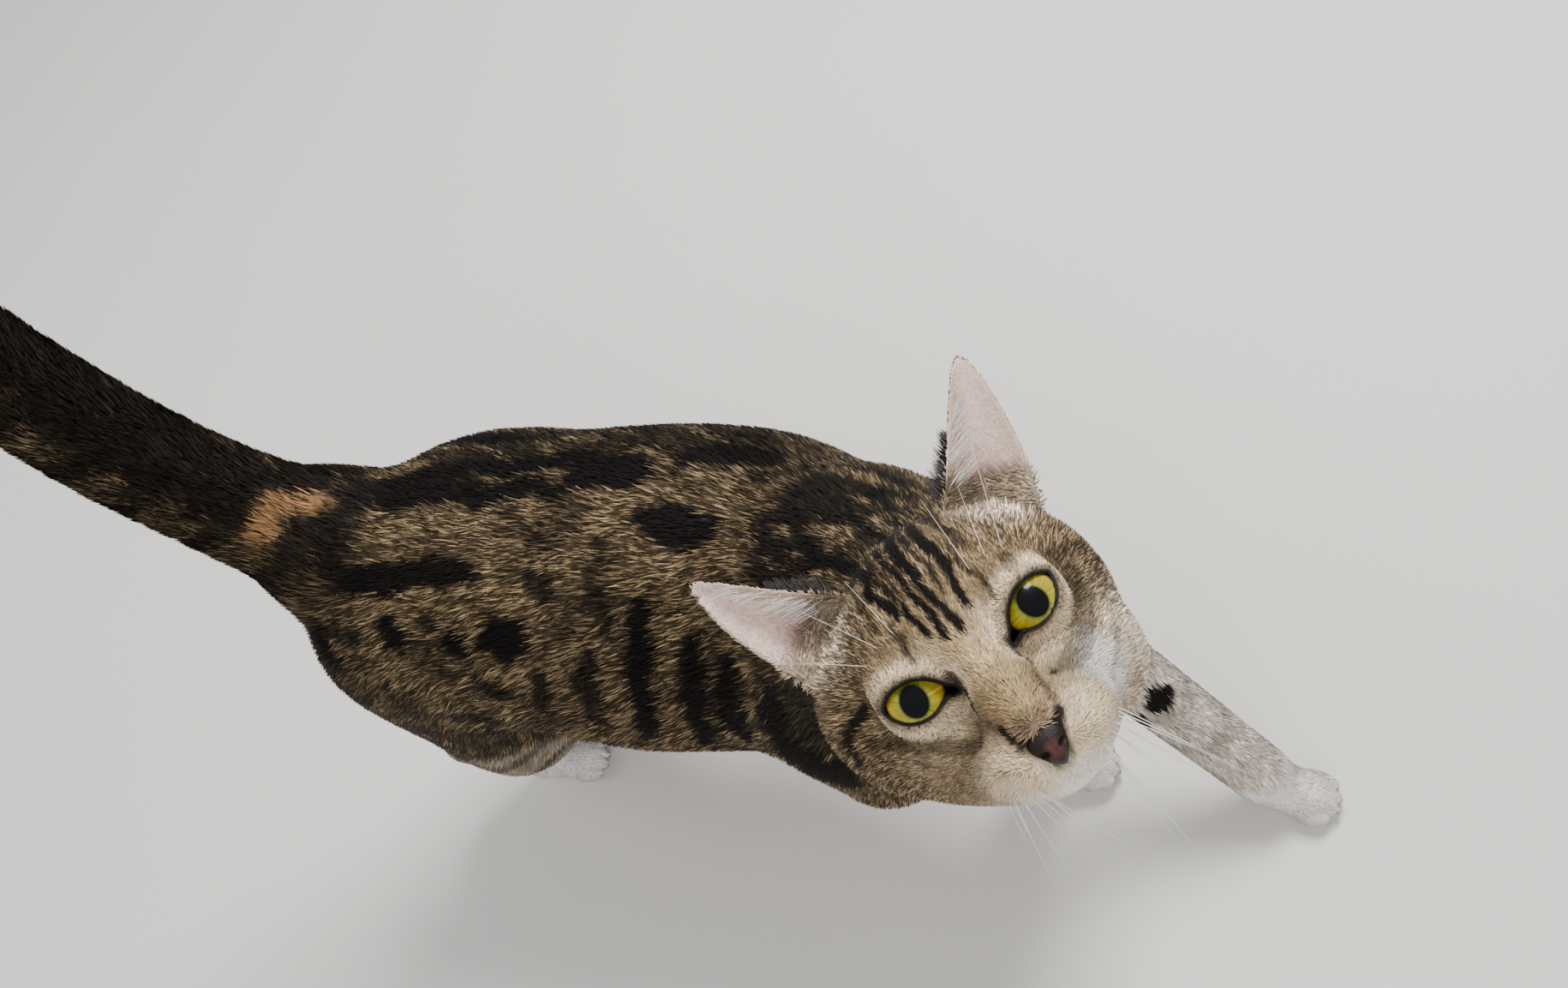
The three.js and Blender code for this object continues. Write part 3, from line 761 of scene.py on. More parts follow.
# Soft patches of ground colour on the head: colour, place, size, strength, and if on both sides.
TICKED = (0.122, 0.085, 0.046)
CREAM = (0.80, 0.62, 0.41)
WHITE = (0.86, 0.82, 0.78)
BLACK = (0.0075, 0.0062, 0.0055)
HEAD_PATCHES = [
    ((0.10, 0.07, 0.04), (-68, 0, 24), (31, 60, 36), 1.0, False),
    ((0.26, 0.18, 0.10), (-12, 0, 20), (20, 20, 12), 0.9, False),
    ((0.47, 0.34, 0.19), (9, 0, 3), (16, 9, 12), 1.0, False),
    ((0.36, 0.26, 0.13), (20, 0, -12), (9, 7, 7), 1.0, False),
    ((0.30, 0.19, 0.10), (23, 7, -14), (6, 3.5, 6), 0.8, True),
    ((0.15, 0.075, 0.05), (27, 0, -18), (5, 6, 4), 0.85, False),
    ((0.03, 0.022, 0.016), (-52, 21, 35), (12, 9, 9), 0.95, True),
    (CREAM, (7, 9.0, 4), (6, 3, 8), 0.6, True),
    ((0.76, 0.60, 0.40), (2, 19, -11), (9, 10, 4.0), 1.0, True),
    ((0.66, 0.52, 0.38), (-37, 37, 23), (10, 14, 10), 0.95, True),
    ((0.36, 0.26, 0.16), (-6, 30, -17), (12, 10, 7), 0.8, True),
    ((0.90, 0.71, 0.47), (19, 10, -29), (14, 13, 10), 1.0, True),
    (WHITE, (10, 0, -41), (18, 18, 9), 1.0, False),
    (WHITE, (2, 27, -26), (11, 9, 9), 0.9, False),
    ((0.80, 0.66, 0.52), (-19, 37, -33), (19, 12, 15), 0.9, False),
    (CREAM, (-20, 0, -48), (32, 28, 18), 0.9, False),
]
# A rusty crescent across the root of the tail.
CRESCENT = [(-125, -31, 262), (-119, -17, 266), (-108, -5, 254)]
CRESCENT_COLOR = (0.33, 0.18, 0.08)
TAIL_RINGS = 34                  # mm from one dark ring to the next
TAIL_TIP = 0.9                   # the tail is black past this share of its length


def shaken(points, *waves):
    """Points moved about unevenly, so that what is measured from them has ragged edges."""
    moved = points
    for reach, size, seed in waves:
        moved = moved + reach * noise(points, size, seed)[:, None]
    return moved


def stroke_share(points, marks, edge, taper=0.0):
    """How dark strokes make points, 0 to 1: edge is where the dark starts to fade and where it ends."""
    dark = np.zeros(len(points))
    for width, strength, path in marks:
        away, along = path_distance(points, path)
        half = width / 2 * (1 - taper * np.abs(2 * along - 1) ** 3)
        dark = np.maximum(dark, strength * (1 - smooth_step(*edge, away - half)))
    return dark


def body_strokes(points, marks):
    return stroke_share(shaken(points, (2.2, 8, 0), (1.0, 2.6, 1)), marks, (-0.8, 1.4), 0.35)


def unrolled(marks):
    """Marks on the trunk with their degrees round it as mm."""
    return [
        (width, strength, [(x, turn * DEGREE) for x, turn in path])
        for width, strength, path in marks
    ]


def trunk_marks(points):
    """How dark the trunk's marks make points, the right side's also mirrored on the left."""
    around = np.degrees(np.arctan2(points[:, 1] - TRUNK_AXIS[0], points[:, 2] - TRUNK_AXIS[1]))
    place = np.stack([points[:, 0], around * DEGREE], 1)
    mirrored = place.copy()
    mirrored[:, 0] += 5 * noise(place, 40, 5)
    mirrored[:, 1] = (2 * MIDDLE_OF_BACK - around) * DEGREE
    sides, back = unrolled(SIDE_MARKS), unrolled(BACK_MARKS)
    dark = np.maximum(body_strokes(place, back), body_strokes(place, sides))
    return np.maximum(dark, body_strokes(mirrored, sides))


def on_crown(points):
    """Places on the crown unrolled: mm over the head from front to back, and mm across."""
    over = np.arctan2(points[:, 2] - CROWN_CENTRE[1], points[:, 0] - CROWN_CENTRE[0])
    return np.stack([over * CROWN_RADIUS, points[:, 1]], 1)


def crown_marks(head):
    crown = [(width, strength, on_crown(np.array(path))) for width, strength, path in CROWN_MARKS]
    places = shaken(on_crown(head), (0.4, 5, 0), (0.25, 1.7, 1))
    return stroke_share(places, crown, (-0.5, 0.7)) * smooth_step(0, 6, head[:, 2])


def face_marks(head):
    return stroke_share(shaken(head, (0.5, 4, 2), (0.3, 1.5, 3)), FACE_MARKS, (-0.5, 1.3))


def head_ground(head):
    ground = np.array(TICKED) * 1.5
    for color, place, size, strength, paired in HEAD_PATCHES:
        for side in SIDES.values() if paired else (1,):
            away = (head - on_side(place, side)) / np.array(size)
            share = strength * np.exp(-0.7 * (away ** 2).sum(1) ** 1.5)
            ground = mix(ground, color, share)
    return ground


def eye_marks(points, ground, dark):
    """Black lid edges, and a cream ring round them."""
    for side in SIDES.values():
        local = eye_local(points, side)
        edge = past_lids(local)
        ring = np.exp(-((edge - 3.6) / 2.0) ** 2) * 0.85
        ground = mix(ground, CREAM, ring)
        lid_edge = 1 - smooth_step(1.1, 2.0 + 0.5 * (local[:, 1] > 0), edge)
        dark = np.maximum(dark * (1 - ring * 0.2), lid_edge)
    return ground, dark


LEG_COLOR = (0.58, 0.51, 0.43)
LEG_BAND = 19                    # mm from one band to the next
# the lower hind legs' colour: their own darker hair, with painted shade
SHANK_COLOR_AND_SHADE = (0.20, 0.165, 0.16)
LEG_PALE = {"hind_right": 0.25, "hind_left": 0.25, "fore_right": 0.6, "fore_left": 1.0}
LEG_SPOTS = [
    (12, 1.0, [(187, -35, 77), (196, -27, 80)]),
    (13, 1.0, [(200, -29, 92), (209, -21, 93)]),
    (10, 0.8, [(180, -20, 98), (186, -26, 90)]),
]


def leg_marks(points, leg):
    """Ground colour, darkness and whiteness of the legs, with soft bands and white feet."""
    height = points[:, 2] + 2.5 * noise(points, 9, 4)
    pale = np.array([LEG_PALE[name] for name in PAWS])[leg]
    ground = mix(np.array(TICKED) * 1.1, LEG_COLOR, pale)
    # the lower hind legs turn darker purple-grey: their own darker hair and painted shade
    shank = smooth_step(100, 70, height) * (leg < 2)
    ground = mix(ground, SHANK_COLOR_AND_SHADE, shank * 0.7)
    bands = 0.5 + 0.5 * np.sin(2 * np.pi * height / LEG_BAND + 2.0 * leg)
    dark = smooth_step(0.62, 0.9, bands) * (0.75 - 0.45 * pale) * smooth_step(36, 60, height)
    dark = np.maximum(dark, body_strokes(points, LEG_SPOTS))
    sock = np.array([PAWS[name][2] for name in PAWS])[leg]
    white = 1 - smooth_step(sock - 3, sock + 4, height)
    return mix(ground, WHITE, white), dark * (1 - white), white


TAIL_MM = np.linalg.norm(np.diff(TAIL[:, :3], axis=0), axis=1).sum()


def tail_marks(points):
    """How dark the tail is: along its front, in its rings and at its tip."""
    away, along = path_distance(points, TAIL[:, :3])
    front = points[:, 0] - np.interp(along, np.linspace(0, 1, len(TAIL)), TAIL[:, 0])
    facing = front / np.maximum(away, 1)
    place = along * TAIL_MM + 5 * noise(points, 14, 6)
    rings = 0.5 + 0.5 * np.sin(2 * np.pi * place / TAIL_RINGS)
    dark = 0.95 * smooth_step(0.25, 0.75, facing + 0.25 * noise(points, 9, 7))
    dark = np.maximum(dark, 0.9 * smooth_step(0.55, 0.85, rings))
    dark = np.maximum(dark, smooth_step(TAIL_TIP - 0.04, TAIL_TIP + 0.02, along))
    return np.maximum(dark, 0.45 + 0.4 * noise(points, 6, 13))


BELLY_COLOR = (0.42, 0.33, 0.24)
BELLY_HEIGHTS = (118, 92)        # mm over the floor, where it starts and where it is full
# Darker regions of the coat, broken by thin pale streaks along the body, and one painted shadow of the
# head: centre, radii, strength.
DARK_VEILS_AND_HEAD_SHADOW = [
    ((122, -26, 245), (42, 46, 46), 0.95),
    # painted shadow: this dark veil on the right shoulder, behind the head, stands for the shadow the
    # head casts there
    ((112, -78, 196), (44, 44, 46), 0.85),
    ((-134, -30, 205), (34, 60, 60), 0.85),
    ((-30, 34, 212), (140, 34, 44), 0.85),
    ((-110, -64, 135), (62, 34, 52), 0.75),
]
STREAK_AXES = turned(yaw=-25, pitch=15) * np.array([0.16, 1.0, 1.0])
NECK_MARKS_FROM = -125           # the crown's strokes run back to here in the head's frame


def colour_coat(skin_points, normals, traits):
    """Ground colour, darkness and ticking of the coat rooted at points on the skin."""
    points = skin_points + normals * traits[:, :1]
    head = to_head(points)
    share = dict(zip(PARTS, traits[:, PART_SHARES].T))
    belly = smooth_step(*BELLY_HEIGHTS, points[:, 2] + 6 * noise(points, 20, 8))
    ground = mix(TICKED, BELLY_COLOR, belly)
    dark = trunk_marks(points) * (1 - 0.5 * belly)
    tick = np.ones(len(points))
    streaks = smooth_step(-0.42, -0.1, noise(points @ STREAK_AXES, 4.5, 11))
    # darker coat, with painted shadow of the head on the right shoulder
    for centre, radii, strength in DARK_VEILS_AND_HEAD_SHADOW:
        away = np.linalg.norm((points - np.array(centre)) / np.array(radii), axis=1)
        dark = np.maximum(dark, strength * streaks * (1 - smooth_step(0.7, 1.15, away)))
    crown = crown_marks(head) * (head[:, 0] > NECK_MARKS_FROM)
    dark = np.maximum(dark, crown * smooth_step(0.3, 0.6, share["head"] + share["neck"]))
    mottle = 0.5 * smooth_step(0.15, 0.6, noise(points * np.array([0.6, 1, 1]), 9, 12))
    dark = np.maximum(dark, mottle * (1 - 0.5 * belly))

    # The tail, and the crescent over its root.
    dark = toward(dark, tail_marks(points), smooth_step(0.3, 0.7, share["tail"]))
    crescent = np.exp(-(path_distance(points, CRESCENT)[0] / 6) ** 4)
    ground = mix(ground, CRESCENT_COLOR, crescent)
    dark = dark * (1 - crescent)
    tick = tick * (1 - 0.8 * crescent)

    # The head: its face and the hair by the ears are hardly ticked, and the throat is plain.
    on_head_share = smooth_step(0.35, 0.65, share["head"] + share["ear"])
    ground = mix(ground, head_ground(head), on_head_share)
    dark = toward(dark, np.maximum(crown, face_marks(head)), on_head_share)
    tick = tick * (1 - 0.7 * on_head_share * smooth_step(-24, 4, head[:, 0]))
    ground, dark = eye_marks(skin_points, ground, dark)
    by_ear = 1 - smooth_step(2, 11, np.minimum(*[one_ear(skin_points) for one_ear in EARS]))
    tick = tick * (1 - 0.55 * by_ear)
    dark = dark * (1 - 0.8 * on_head_share * smooth_step(-26, -38, head[:, 2]))

    # The legs, and last the ears. Pale hair isn't ticked.
    on_leg = smooth_step(0.35, 0.65, share["leg"] + share["paw"])
    leg_ground, leg_dark, white = leg_marks(points, nearest_leg(points))
    ground = mix(ground, leg_ground, on_leg)
    dark = toward(dark, leg_dark, on_leg)
    tick = tick * (1 - on_leg * (0.6 + 0.4 * white))
    tick = tick * (1 - smooth_step(0.45, 0.75, ground.mean(1)))
    return ear_colours(skin_points, share["ear"], ground, dark, tick)


EAR_SKIN = (0.76, 0.56, 0.48)
EAR_BACK = (0.12, 0.085, 0.05)
EAR_CUP_SHADE = (0.42, 0.24, 0.22)
EAR_EDGE = (0.62, 0.50, 0.36)


def ear_colours(points, share, ground, dark, tick):
    """The coat's colours with the ears' own: skin in the cup with painted shade deep in it, a dark
    back, and a pale edge.
    """
    for side in SIDES.values():
        inside, across, up = ear_places(points, side)
        here = share * (np.abs(across) < 1.3) * (to_head(points)[:, 1] * side > 0)
        edge = smooth_step(0.72, 0.98, np.abs(across) + 0.25 * up ** 4)
        edge = edge * np.where((across < 0) & (inside < 0.6), 0, 1)
        back = mix(EAR_BACK, np.array(BLACK) * 2, smooth_step(0, -0.9, across))
        color = np.where(inside[:, None] > 0, EAR_SKIN, back)
        # painted shade: the cup's skin is darkened deep down, towards its base
        deep = smooth_step(0.5, 0.05, up + 0.3 * np.abs(across)) * (inside > 0)
        color = mix(color, EAR_CUP_SHADE, deep)
        color = mix(color, EAR_EDGE, edge * 0.8)
        ground = mix(ground, color, here)
        dark = dark * (1 - here)
        tick = tick * (1 - here)
    return ground, dark, tick


# ------------------------------------------------------------------ where a point is

# Paths through the legs, the back, the neck and the head, which the coat is parted and unwrapped by.
LEG_PATHS = {
    "hind_right": [(-100, -50, 150), (-92, -56, 112), (-158, -46, 64), (-142, -40, 14), (-108, -38, 6)],
    "hind_left": [(-70, 30, 150), (-60, 28, 112), (-95, 30, 66), (-63, 24, 14), (-28, 22, 6)],
    "fore_right": [(100, -60, 150), (96, -64, 110), (135, -33, 28), (140, -32, 12), (170, -29, 6)],
    "fore_left": [(132, 6, 148), (168, -4, 118), (236, -36, 30), (240, -37, 12), (268, -43, 6)],
}
BACK_PATH = [(-230, -10, 190), (60, -12, 165), (150, -40, 160), (260, -70, 160)]
NECK_PATH = [(80, -15, 175), on_head(*NECK_END), on_head(10, 0, -14)]
HEAD_PATH = [on_head(-120, 0, -4), on_head(60, 0, -20)]


def nearest_leg(points):
    away = [path_distance(points, path)[0] for path in LEG_PATHS.values()]
    return np.argmin(away, axis=0)


def ear_places(points, side):
    """Where points are on an ear: out of the middle of its shell, across it and up it."""
    base, axes, height, half = ear_frame(side)
    out, across, up = ((to_head(points) - base) @ axes).T
    depth, past_rim = ear_middle(across, up, height, half)
    width = np.abs(across - ear_bow(up, height)) - past_rim
    return out - depth, (across - ear_bow(up, height)) / np.maximum(width, 0.5), up / height


NOSE_CENTRE = (22.9, 0, -25.2)
NOSE_RADII = (5.7, 6.2, 6.6)
NOSTRIL = (27.6, 3.4, -25.2)
NOSTRIL_RADII = (2.4, 1.7, 1.1)
NOSE_EDGE = 0.8                  # the rounding of its nostrils and its groove


def nose(points):
    """How far points are outside the nose's leather."""
    head = to_head(points) - np.array(NOSE_CENTRE)
    down = np.clip(-head[:, 2] / NOSE_RADII[2], -1, 1)
    head[:, 1] /= 0.85 - 0.45 * down
    scaled = np.linalg.norm(head / np.array(NOSE_RADII), axis=1)
    distance = (scaled - 1) * min(NOSE_RADII)
    for side in SIDES.values():
        distance = carved(distance, (nostril(points, side) - 1) * min(NOSTRIL_RADII), NOSE_EDGE)
    groove = to_head(points) - np.array(NOSE_CENTRE)
    return carved(distance, np.hypot(groove[:, 1], groove[:, 0] - NOSE_RADII[0]) - 0.4, NOSE_EDGE)


def nostril(points, side):
    """How many times its own radius points are from the middle of a nostril."""
    away = to_head(points) - on_side(NOSTRIL, side)
    return np.linalg.norm(away / np.array(NOSTRIL_RADII), axis=1)


# ------------------------------------------------------------------ meshes


def frame_offset():
    """What to add to a place in the cat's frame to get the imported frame, in mm."""
    boxes = [np.array(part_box(f"eye_{name}")) for name in SIDES]
    packed = np.mean([box.mean(0) for box in boxes], 0) / MM
    own = np.mean([on_head(*on_side(EYE_CENTRE, side)) for side in SIDES.values()], 0)
    return packed - own


OFFSET = frame_offset()


def make_mesh(name, points, faces, smooth=True):
    """A mesh object from points in the cat's frame, in mm, and faces of one size."""
    faces = np.asarray(faces, np.int32)
    mesh = bpy.data.meshes.new(name)
    mesh.vertices.add(len(points))
    mesh.vertices.foreach_set("co", ((points + OFFSET) * MM).astype(np.float32).ravel())
    mesh.loops.add(faces.size)
    mesh.loops.foreach_set("vertex_index", faces.ravel())
    mesh.polygons.add(len(faces))
    mesh.polygons.foreach_set("loop_start", np.arange(0, faces.size, faces.shape[1], dtype=np.int32))
    mesh.polygons.foreach_set("use_smooth", np.full(len(faces), smooth))
    mesh.update(calc_edges=True)
    piece = bpy.data.objects.new(name, mesh)
    bpy.context.collection.objects.link(piece)
    return piece


def paint(piece, colors):
    """Colours of a mesh's points, for its material to read."""
    tone = piece.data.attributes.new("tone", "FLOAT_COLOR", "POINT")
    rgba = np.ones((len(colors), 4), np.float32)
    rgba[:, :3] = colors
    tone.data.foreach_set("color", rgba.ravel())


def toned_material(name, roughness, spread, grain, bump, coat=0.0, specular=0.3):
    """A material that reads a mesh's tones, made uneven by a fine grain of this many to the metre."""
    material = bpy.data.materials.new(name)
    material.use_nodes = True
    nodes, links = material.node_tree.nodes, material.node_tree.links

    def fill(node, **inputs):
        """Gives a node's inputs a value each, or a link from another node's output."""
        for label, value in inputs.items():
            socket = node.inputs[label.replace("_", " ")]
            if isinstance(value, bpy.types.NodeSocket):
                links.new(value, socket)
            else:
                socket.default_value = value
        return node.outputs

    tone = nodes.new("ShaderNodeAttribute")
    tone.attribute_name = "tone"
    place = nodes.new("ShaderNodeTexCoord").outputs["Object"]
    speckle = fill(nodes.new("ShaderNodeTexNoise"), Scale=grain, Detail=3, Vector=place)["Fac"]
    strength = nodes.new("ShaderNodeMapRange")
    strength = fill(strength, To_Min=1 - spread, To_Max=1 + spread, Value=speckle)
    rough = nodes.new("ShaderNodeMapRange")
    rough = fill(rough, To_Min=max(roughness - 0.1, 0.02), To_Max=roughness + 0.1, Value=speckle)
    scaled = nodes.new("ShaderNodeVectorMath")
    scaled.operation = "SCALE"
    links.new(tone.outputs["Color"], scaled.inputs[0])
    color = fill(scaled, Scale=strength["Result"])["Vector"]
    bsdf = nodes["Principled BSDF"]
    fill(bsdf, Base_Color=color, Roughness=rough["Result"], Specular_IOR_Level=specular)
    fill(bsdf, Coat_Weight=coat, Coat_Roughness=0.03)
    if bump:
        relief = fill(nodes.new("ShaderNodeBump"), Strength=bump, Distance=0.0005, Height=speckle)
        fill(bsdf, Normal=relief["Normal"])
    return material


# ------------------------------------------------------------------ the skin


def make_skin():
    points, quads = grow_skin()
    piece = make_mesh("skin", points, quads)
    normals = np.zeros(len(points) * 3, np.float32)
    piece.data.vertices.foreach_get("normal", normals)
    normals = normals.reshape(-1, 3).astype(float)
    traits = add_ear_traits(points, skin_traits(points))
    ground, dark, tick = colour_coat(points, normals, traits)
    under = mix(ground * (1 - 0.5 * tick[:, None]), BLACK, dark)
    paint(piece, under)
    piece.data.materials.append(toned_material("skin", 0.75, 0.25, 900, 0.6))
    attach(piece, "root")
    flesh = ["head", "neck", "trunk", "tail_base", "tail_middle", "tail_tip", "ear_left", "ear_right"]
    for side in SIDES:
        flesh += [f"{limb_name}_{side}" for limb_name in ("foreleg", "forepaw", "hindleg", "hindpaw")]
    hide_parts(*flesh)
    return points, quads, normals, traits


def add_ear_traits(points, traits):
    """Traits with the ears' own coat and lie where points are on an ear."""
    for side, one_ear in zip(SIDES.values(), EARS):
        _, axes, _, _ = ear_frame(side)
        _, _, up = ear_places(points, side)
        share = smooth_step(2.0, 0.6, one_ear(points)) * smooth_step(0.04, 0.22, up)
        lie = HEAD_AXES @ axes @ np.array([0, 0, 1.0])
        traits = mix(traits, coat_traits("ear", "ear", lie), share)
    return traits


# ------------------------------------------------------------------ the coat in tufts

TUFT_LIMIT = 48000               # tufts in one piece
PATCH = 0.0015                   # half the width of a tuft's patch on the unwrap
BARE_LIDS = (1.5, 2.3)           # mm past the lids where hair starts, and where it's full
PARTED = (2, 7)                  # mm past the lids between which the hair points away from the eye
BY_EYE = 0.35                    # the tufts' length at the lids and on the ears, as shares
BY_EAR = 0.5


def scatter(points, quads, normals, traits):
    """Roots of tufts spread over the skin as thickly as each place's coat asks."""
    triangles = np.concatenate([quads[:, [0, 1, 2]], quads[:, [0, 2, 3]]])
    a, b, c = (points[triangles[:, i]] for i in range(3))
    area = np.linalg.norm(np.cross(b - a, c - a), axis=1) / 2
    density = traits[triangles, -1].mean(1) * bare_share(points)[triangles].mean(1)
    count = np.floor(area * density + RNG.random(len(area))).astype(int)
    face = np.repeat(np.arange(len(triangles)), count)
    weights = RNG.random((len(face), 2))
    weights = np.where(weights.sum(1, keepdims=True) > 1, 1 - weights, weights)
    weights = np.column_stack([1 - weights.sum(1), weights])[:, :, None]
    corners = triangles[face]
    roots = (points[corners] * weights).sum(1)
    facing = (normals[corners] * weights).sum(1)
    facing /= np.linalg.norm(facing, axis=1, keepdims=True)
    return roots, facing, (traits[corners] * weights).sum(1)


def bare_share(points):
    """1 where the skin has hair, 0 on the nose, in the eyes, on the soles and in the mouth."""
    hair = smooth_step(-0.2, 1.2, nose(points))
    for side in SIDES.values():
        hair *= smooth_step(*BARE_LIDS, past_lids(eye_local(points, side)))
        inside, across, up = ear_places(points, side)
        cup = (inside > 0) & (np.abs(across) < 0.85) & (up > 0.05) & (up < 1)
        hair *= np.where(cup & (inside < 4), 0.3, 1)
    return hair * smooth_step(0.5, 1.6, points[:, 2])


def part_from_eyes(roots, flat):
    """The lie of the hair turned to point away from the eyes close to them."""
    for side in SIDES.values():
        local = eye_local(roots, side)
        away = np.stack([local[:, 0], local[:, 1], 0 * local[:, 0]], 1)
        away = away @ (HEAD_AXES @ eye_axes(side)).T
        away /= np.maximum(np.linalg.norm(away, axis=1, keepdims=True), 1e-6)
        flat = mix(flat, away, 1 - smooth_step(*PARTED, past_lids(local)))
    return flat


def flattened(vectors, normals):
    """Vectors laid along the surface, of length 1."""
    flat = vectors - normals * (vectors * normals).sum(1, keepdims=True)
    return flat / np.maximum(np.linalg.norm(flat, axis=1, keepdims=True), 1e-6)


def shape_tufts(roots, normals, traits):
    """The root, left, right and tip of each tuft, and the normals they are shaded with."""
    count = len(roots)
    depth, length, width = traits[:, 0], traits[:, 1], traits[:, 2]
    flat = flattened(part_from_eyes(roots, flattened(traits[:, 3:6], normals)), normals)
    side = np.cross(normals, flat)
    turn = np.radians(20 * noise(roots, 9, 9) + RNG.normal(0, 8, count))[:, None]
    along = flat * np.cos(turn) + side * np.sin(turn)
    side = np.cross(normals, along)
    lids = np.minimum(*[past_lids(eye_local(roots, eye_side)) for eye_side in SIDES.values()])
    ears = np.minimum(*[one_ear(roots) for one_ear in EARS])
    short = BY_EYE + (1 - BY_EYE) * smooth_step(1, 9, lids)
    short *= BY_EAR + (1 - BY_EAR) * smooth_step(1, 9, ears)
    size = length * short * RNG.uniform(0.7, 1.25, count)
    height = depth * short * RNG.uniform(0.7, 1.0, count)
    half = width * RNG.uniform(0.4, 0.65, count)
    tip = roots + along * size[:, None] + normals * height[:, None]
    sink = np.clip(height - skin(tip), -0.6 * size, 0.6 * size)[:, None]
    tip += normals * sink
    middle = roots + (tip - roots) * 0.45 + normals * (0.14 * height + 0.12)[:, None]
    root = roots - normals * 0.35
    left = middle + side * half[:, None]
    right = middle - side * half[:, None]
    shade = [normals, normals + 0.3 * side, normals - 0.3 * side, normals + 0.2 * along]
    corners = np.stack([root, left, right, tip], 1)
    corners[:, :, 2] = np.maximum(corners[:, :, 2], SOLE)
    return corners, np.stack(shade, 1)


PALE_TUFTS = 0.38                # the share of tufts with a pale tip
TICKING = [(-0.75, -0.75), (0.8, -0.4), (1.25, -0.8)]    # root, middle, tip: of pale and dark tufts


def tone_tufts(roots, ground, dark, tick):
    """The colours of each tuft's root, left, right and tip: ticked hair is banded along its length."""
    count = len(roots)
    tone = 0.45 * noise(roots, 3, 10) + RNG.normal(0, 0.3, count)
    pale = RNG.random(count) < PALE_TUFTS
    body = ground * np.exp(tone * (0.2 + 0.8 * tick))[:, None]
    black = np.array(BLACK) * np.exp(0.5 * tone)[:, None]
    root, middle, tip = (
        mix(body * (1 + tick * np.where(pale, *change))[:, None], black, dark) for change in TICKING
    )
    return np.stack([root, middle, middle, tip], 1)


TUFT_FACES = np.array([[0, 2, 1], [1, 2, 3], [0, 1, 3], [0, 3, 2]])


SEAM = (0.13, 0.96, 0.25)        # sets where the unwrap is cut, along no path's run


def unwrap(points, path):
    """Places on an unwrap of the skin: round a path and along it, each 0 to 1."""
    path = np.array(path, float)
    _, along = path_distance(points, path)
    lengths = np.concatenate([[0], np.cumsum(np.linalg.norm(np.diff(path, axis=0), axis=1))])
    middle = np.stack([np.interp(along * lengths[-1], lengths, path[:, i]) for i in range(3)], 1)
    run = path[-1] - path[0]
    first = unit(np.cross(run, SEAM))
    second = unit(np.cross(run, first))
    offset = points - middle
    around = np.arctan2(offset @ second, offset @ first) / (2 * np.pi) + 0.5
    spread = (along - along.min()) / max(np.ptp(along), 1e-6)
    return np.stack([around, spread], 1) * (1 - 4 * PATCH) + 2 * PATCH


def make_tufts(name, path, roots, corners, shade, colors):
    """One piece of the coat."""
    count = len(roots)
    faces = (np.arange(count)[:, None, None] * 4 + TUFT_FACES).reshape(-1, 3)
    piece = make_mesh(name, corners.reshape(-1, 3), faces)
    paint(piece, colors.reshape(-1, 3))
    shade = shade / np.linalg.norm(shade, axis=2, keepdims=True)
    piece.data.normals_split_custom_set_from_vertices(shade.reshape(-1, 3).astype(np.float32))
    around = unwrap(roots, path)
    patch = np.array([[0, -PATCH], [-PATCH, 0], [PATCH, 0], [0, PATCH]])
    places = (around[:, None, :] + patch).reshape(-1, 2)
    layer = piece.data.uv_layers.new(name="OFBake")
    layer.data.foreach_set("uv", places[faces.ravel()].astype(np.float32).ravel())
    piece.data.materials.append(COAT_MATERIAL)
    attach(piece, "root")


COAT_MATERIAL = toned_material("coat", 0.75, 0.3, 1500, 0.0, specular=0.12)
TRUNK_CUTS = {"rump": (-400, -75), "loin": (-75, -15), "ribs": (-15, 45), "chest": (45, 400)}


def name_pieces(roots, traits):
    """The name of the coat piece that each root belongs to."""
    part = np.array(PARTS)[np.argmax(traits[:, PART_SHARES], axis=1)]
    names = part.astype("U24")
    leg = np.array(list(PAWS))[nearest_leg(roots)]
    for length, (low, high) in TRUNK_CUTS.items():
        names[(part == "trunk") & (roots[:, 0] >= low) & (roots[:, 0] < high)] = length
    side = np.where(to_head(roots)[:, 1] > 0, "left", "right")
    for kind, which in (("leg", leg), ("paw", leg), ("head", side), ("ear", side)):
        names[part == kind] = np.char.add(f"{kind}_", which)[part == kind]
    return names


def piece_path(name):
    """The path that a piece of the coat is unwrapped along."""
    kind, _, which = name.partition("_")
    if kind in ("leg", "paw"):
        return LEG_PATHS[which]
    paths = {"neck": NECK_PATH, "head": HEAD_PATH, "ear": HEAD_PATH, "tail": TAIL[:, :3]}
    return paths.get(kind, BACK_PATH)


def make_coat(points, quads, normals, traits):
    roots, facing, own = scatter(points, quads, normals, traits)
    ground, dark, tick = colour_coat(roots, facing, own)
    corners, shade = shape_tufts(roots, facing, own)
    colors = tone_tufts(roots, ground, dark, tick)
    names = name_pieces(roots, own)
    for name in np.unique(names):
        which = np.nonzero(names == name)[0]
        for number, start in enumerate(range(0, len(which), TUFT_LIMIT)):
            some = which[start:start + TUFT_LIMIT]
            label = f"coat_{name}" + (f"_{number + 1}" if len(which) > TUFT_LIMIT else "")
            path = piece_path(str(name))
            make_tufts(label, path, roots[some], corners[some], shade[some], colors[some])


# ------------------------------------------------------------------ eyes, nose, whiskers

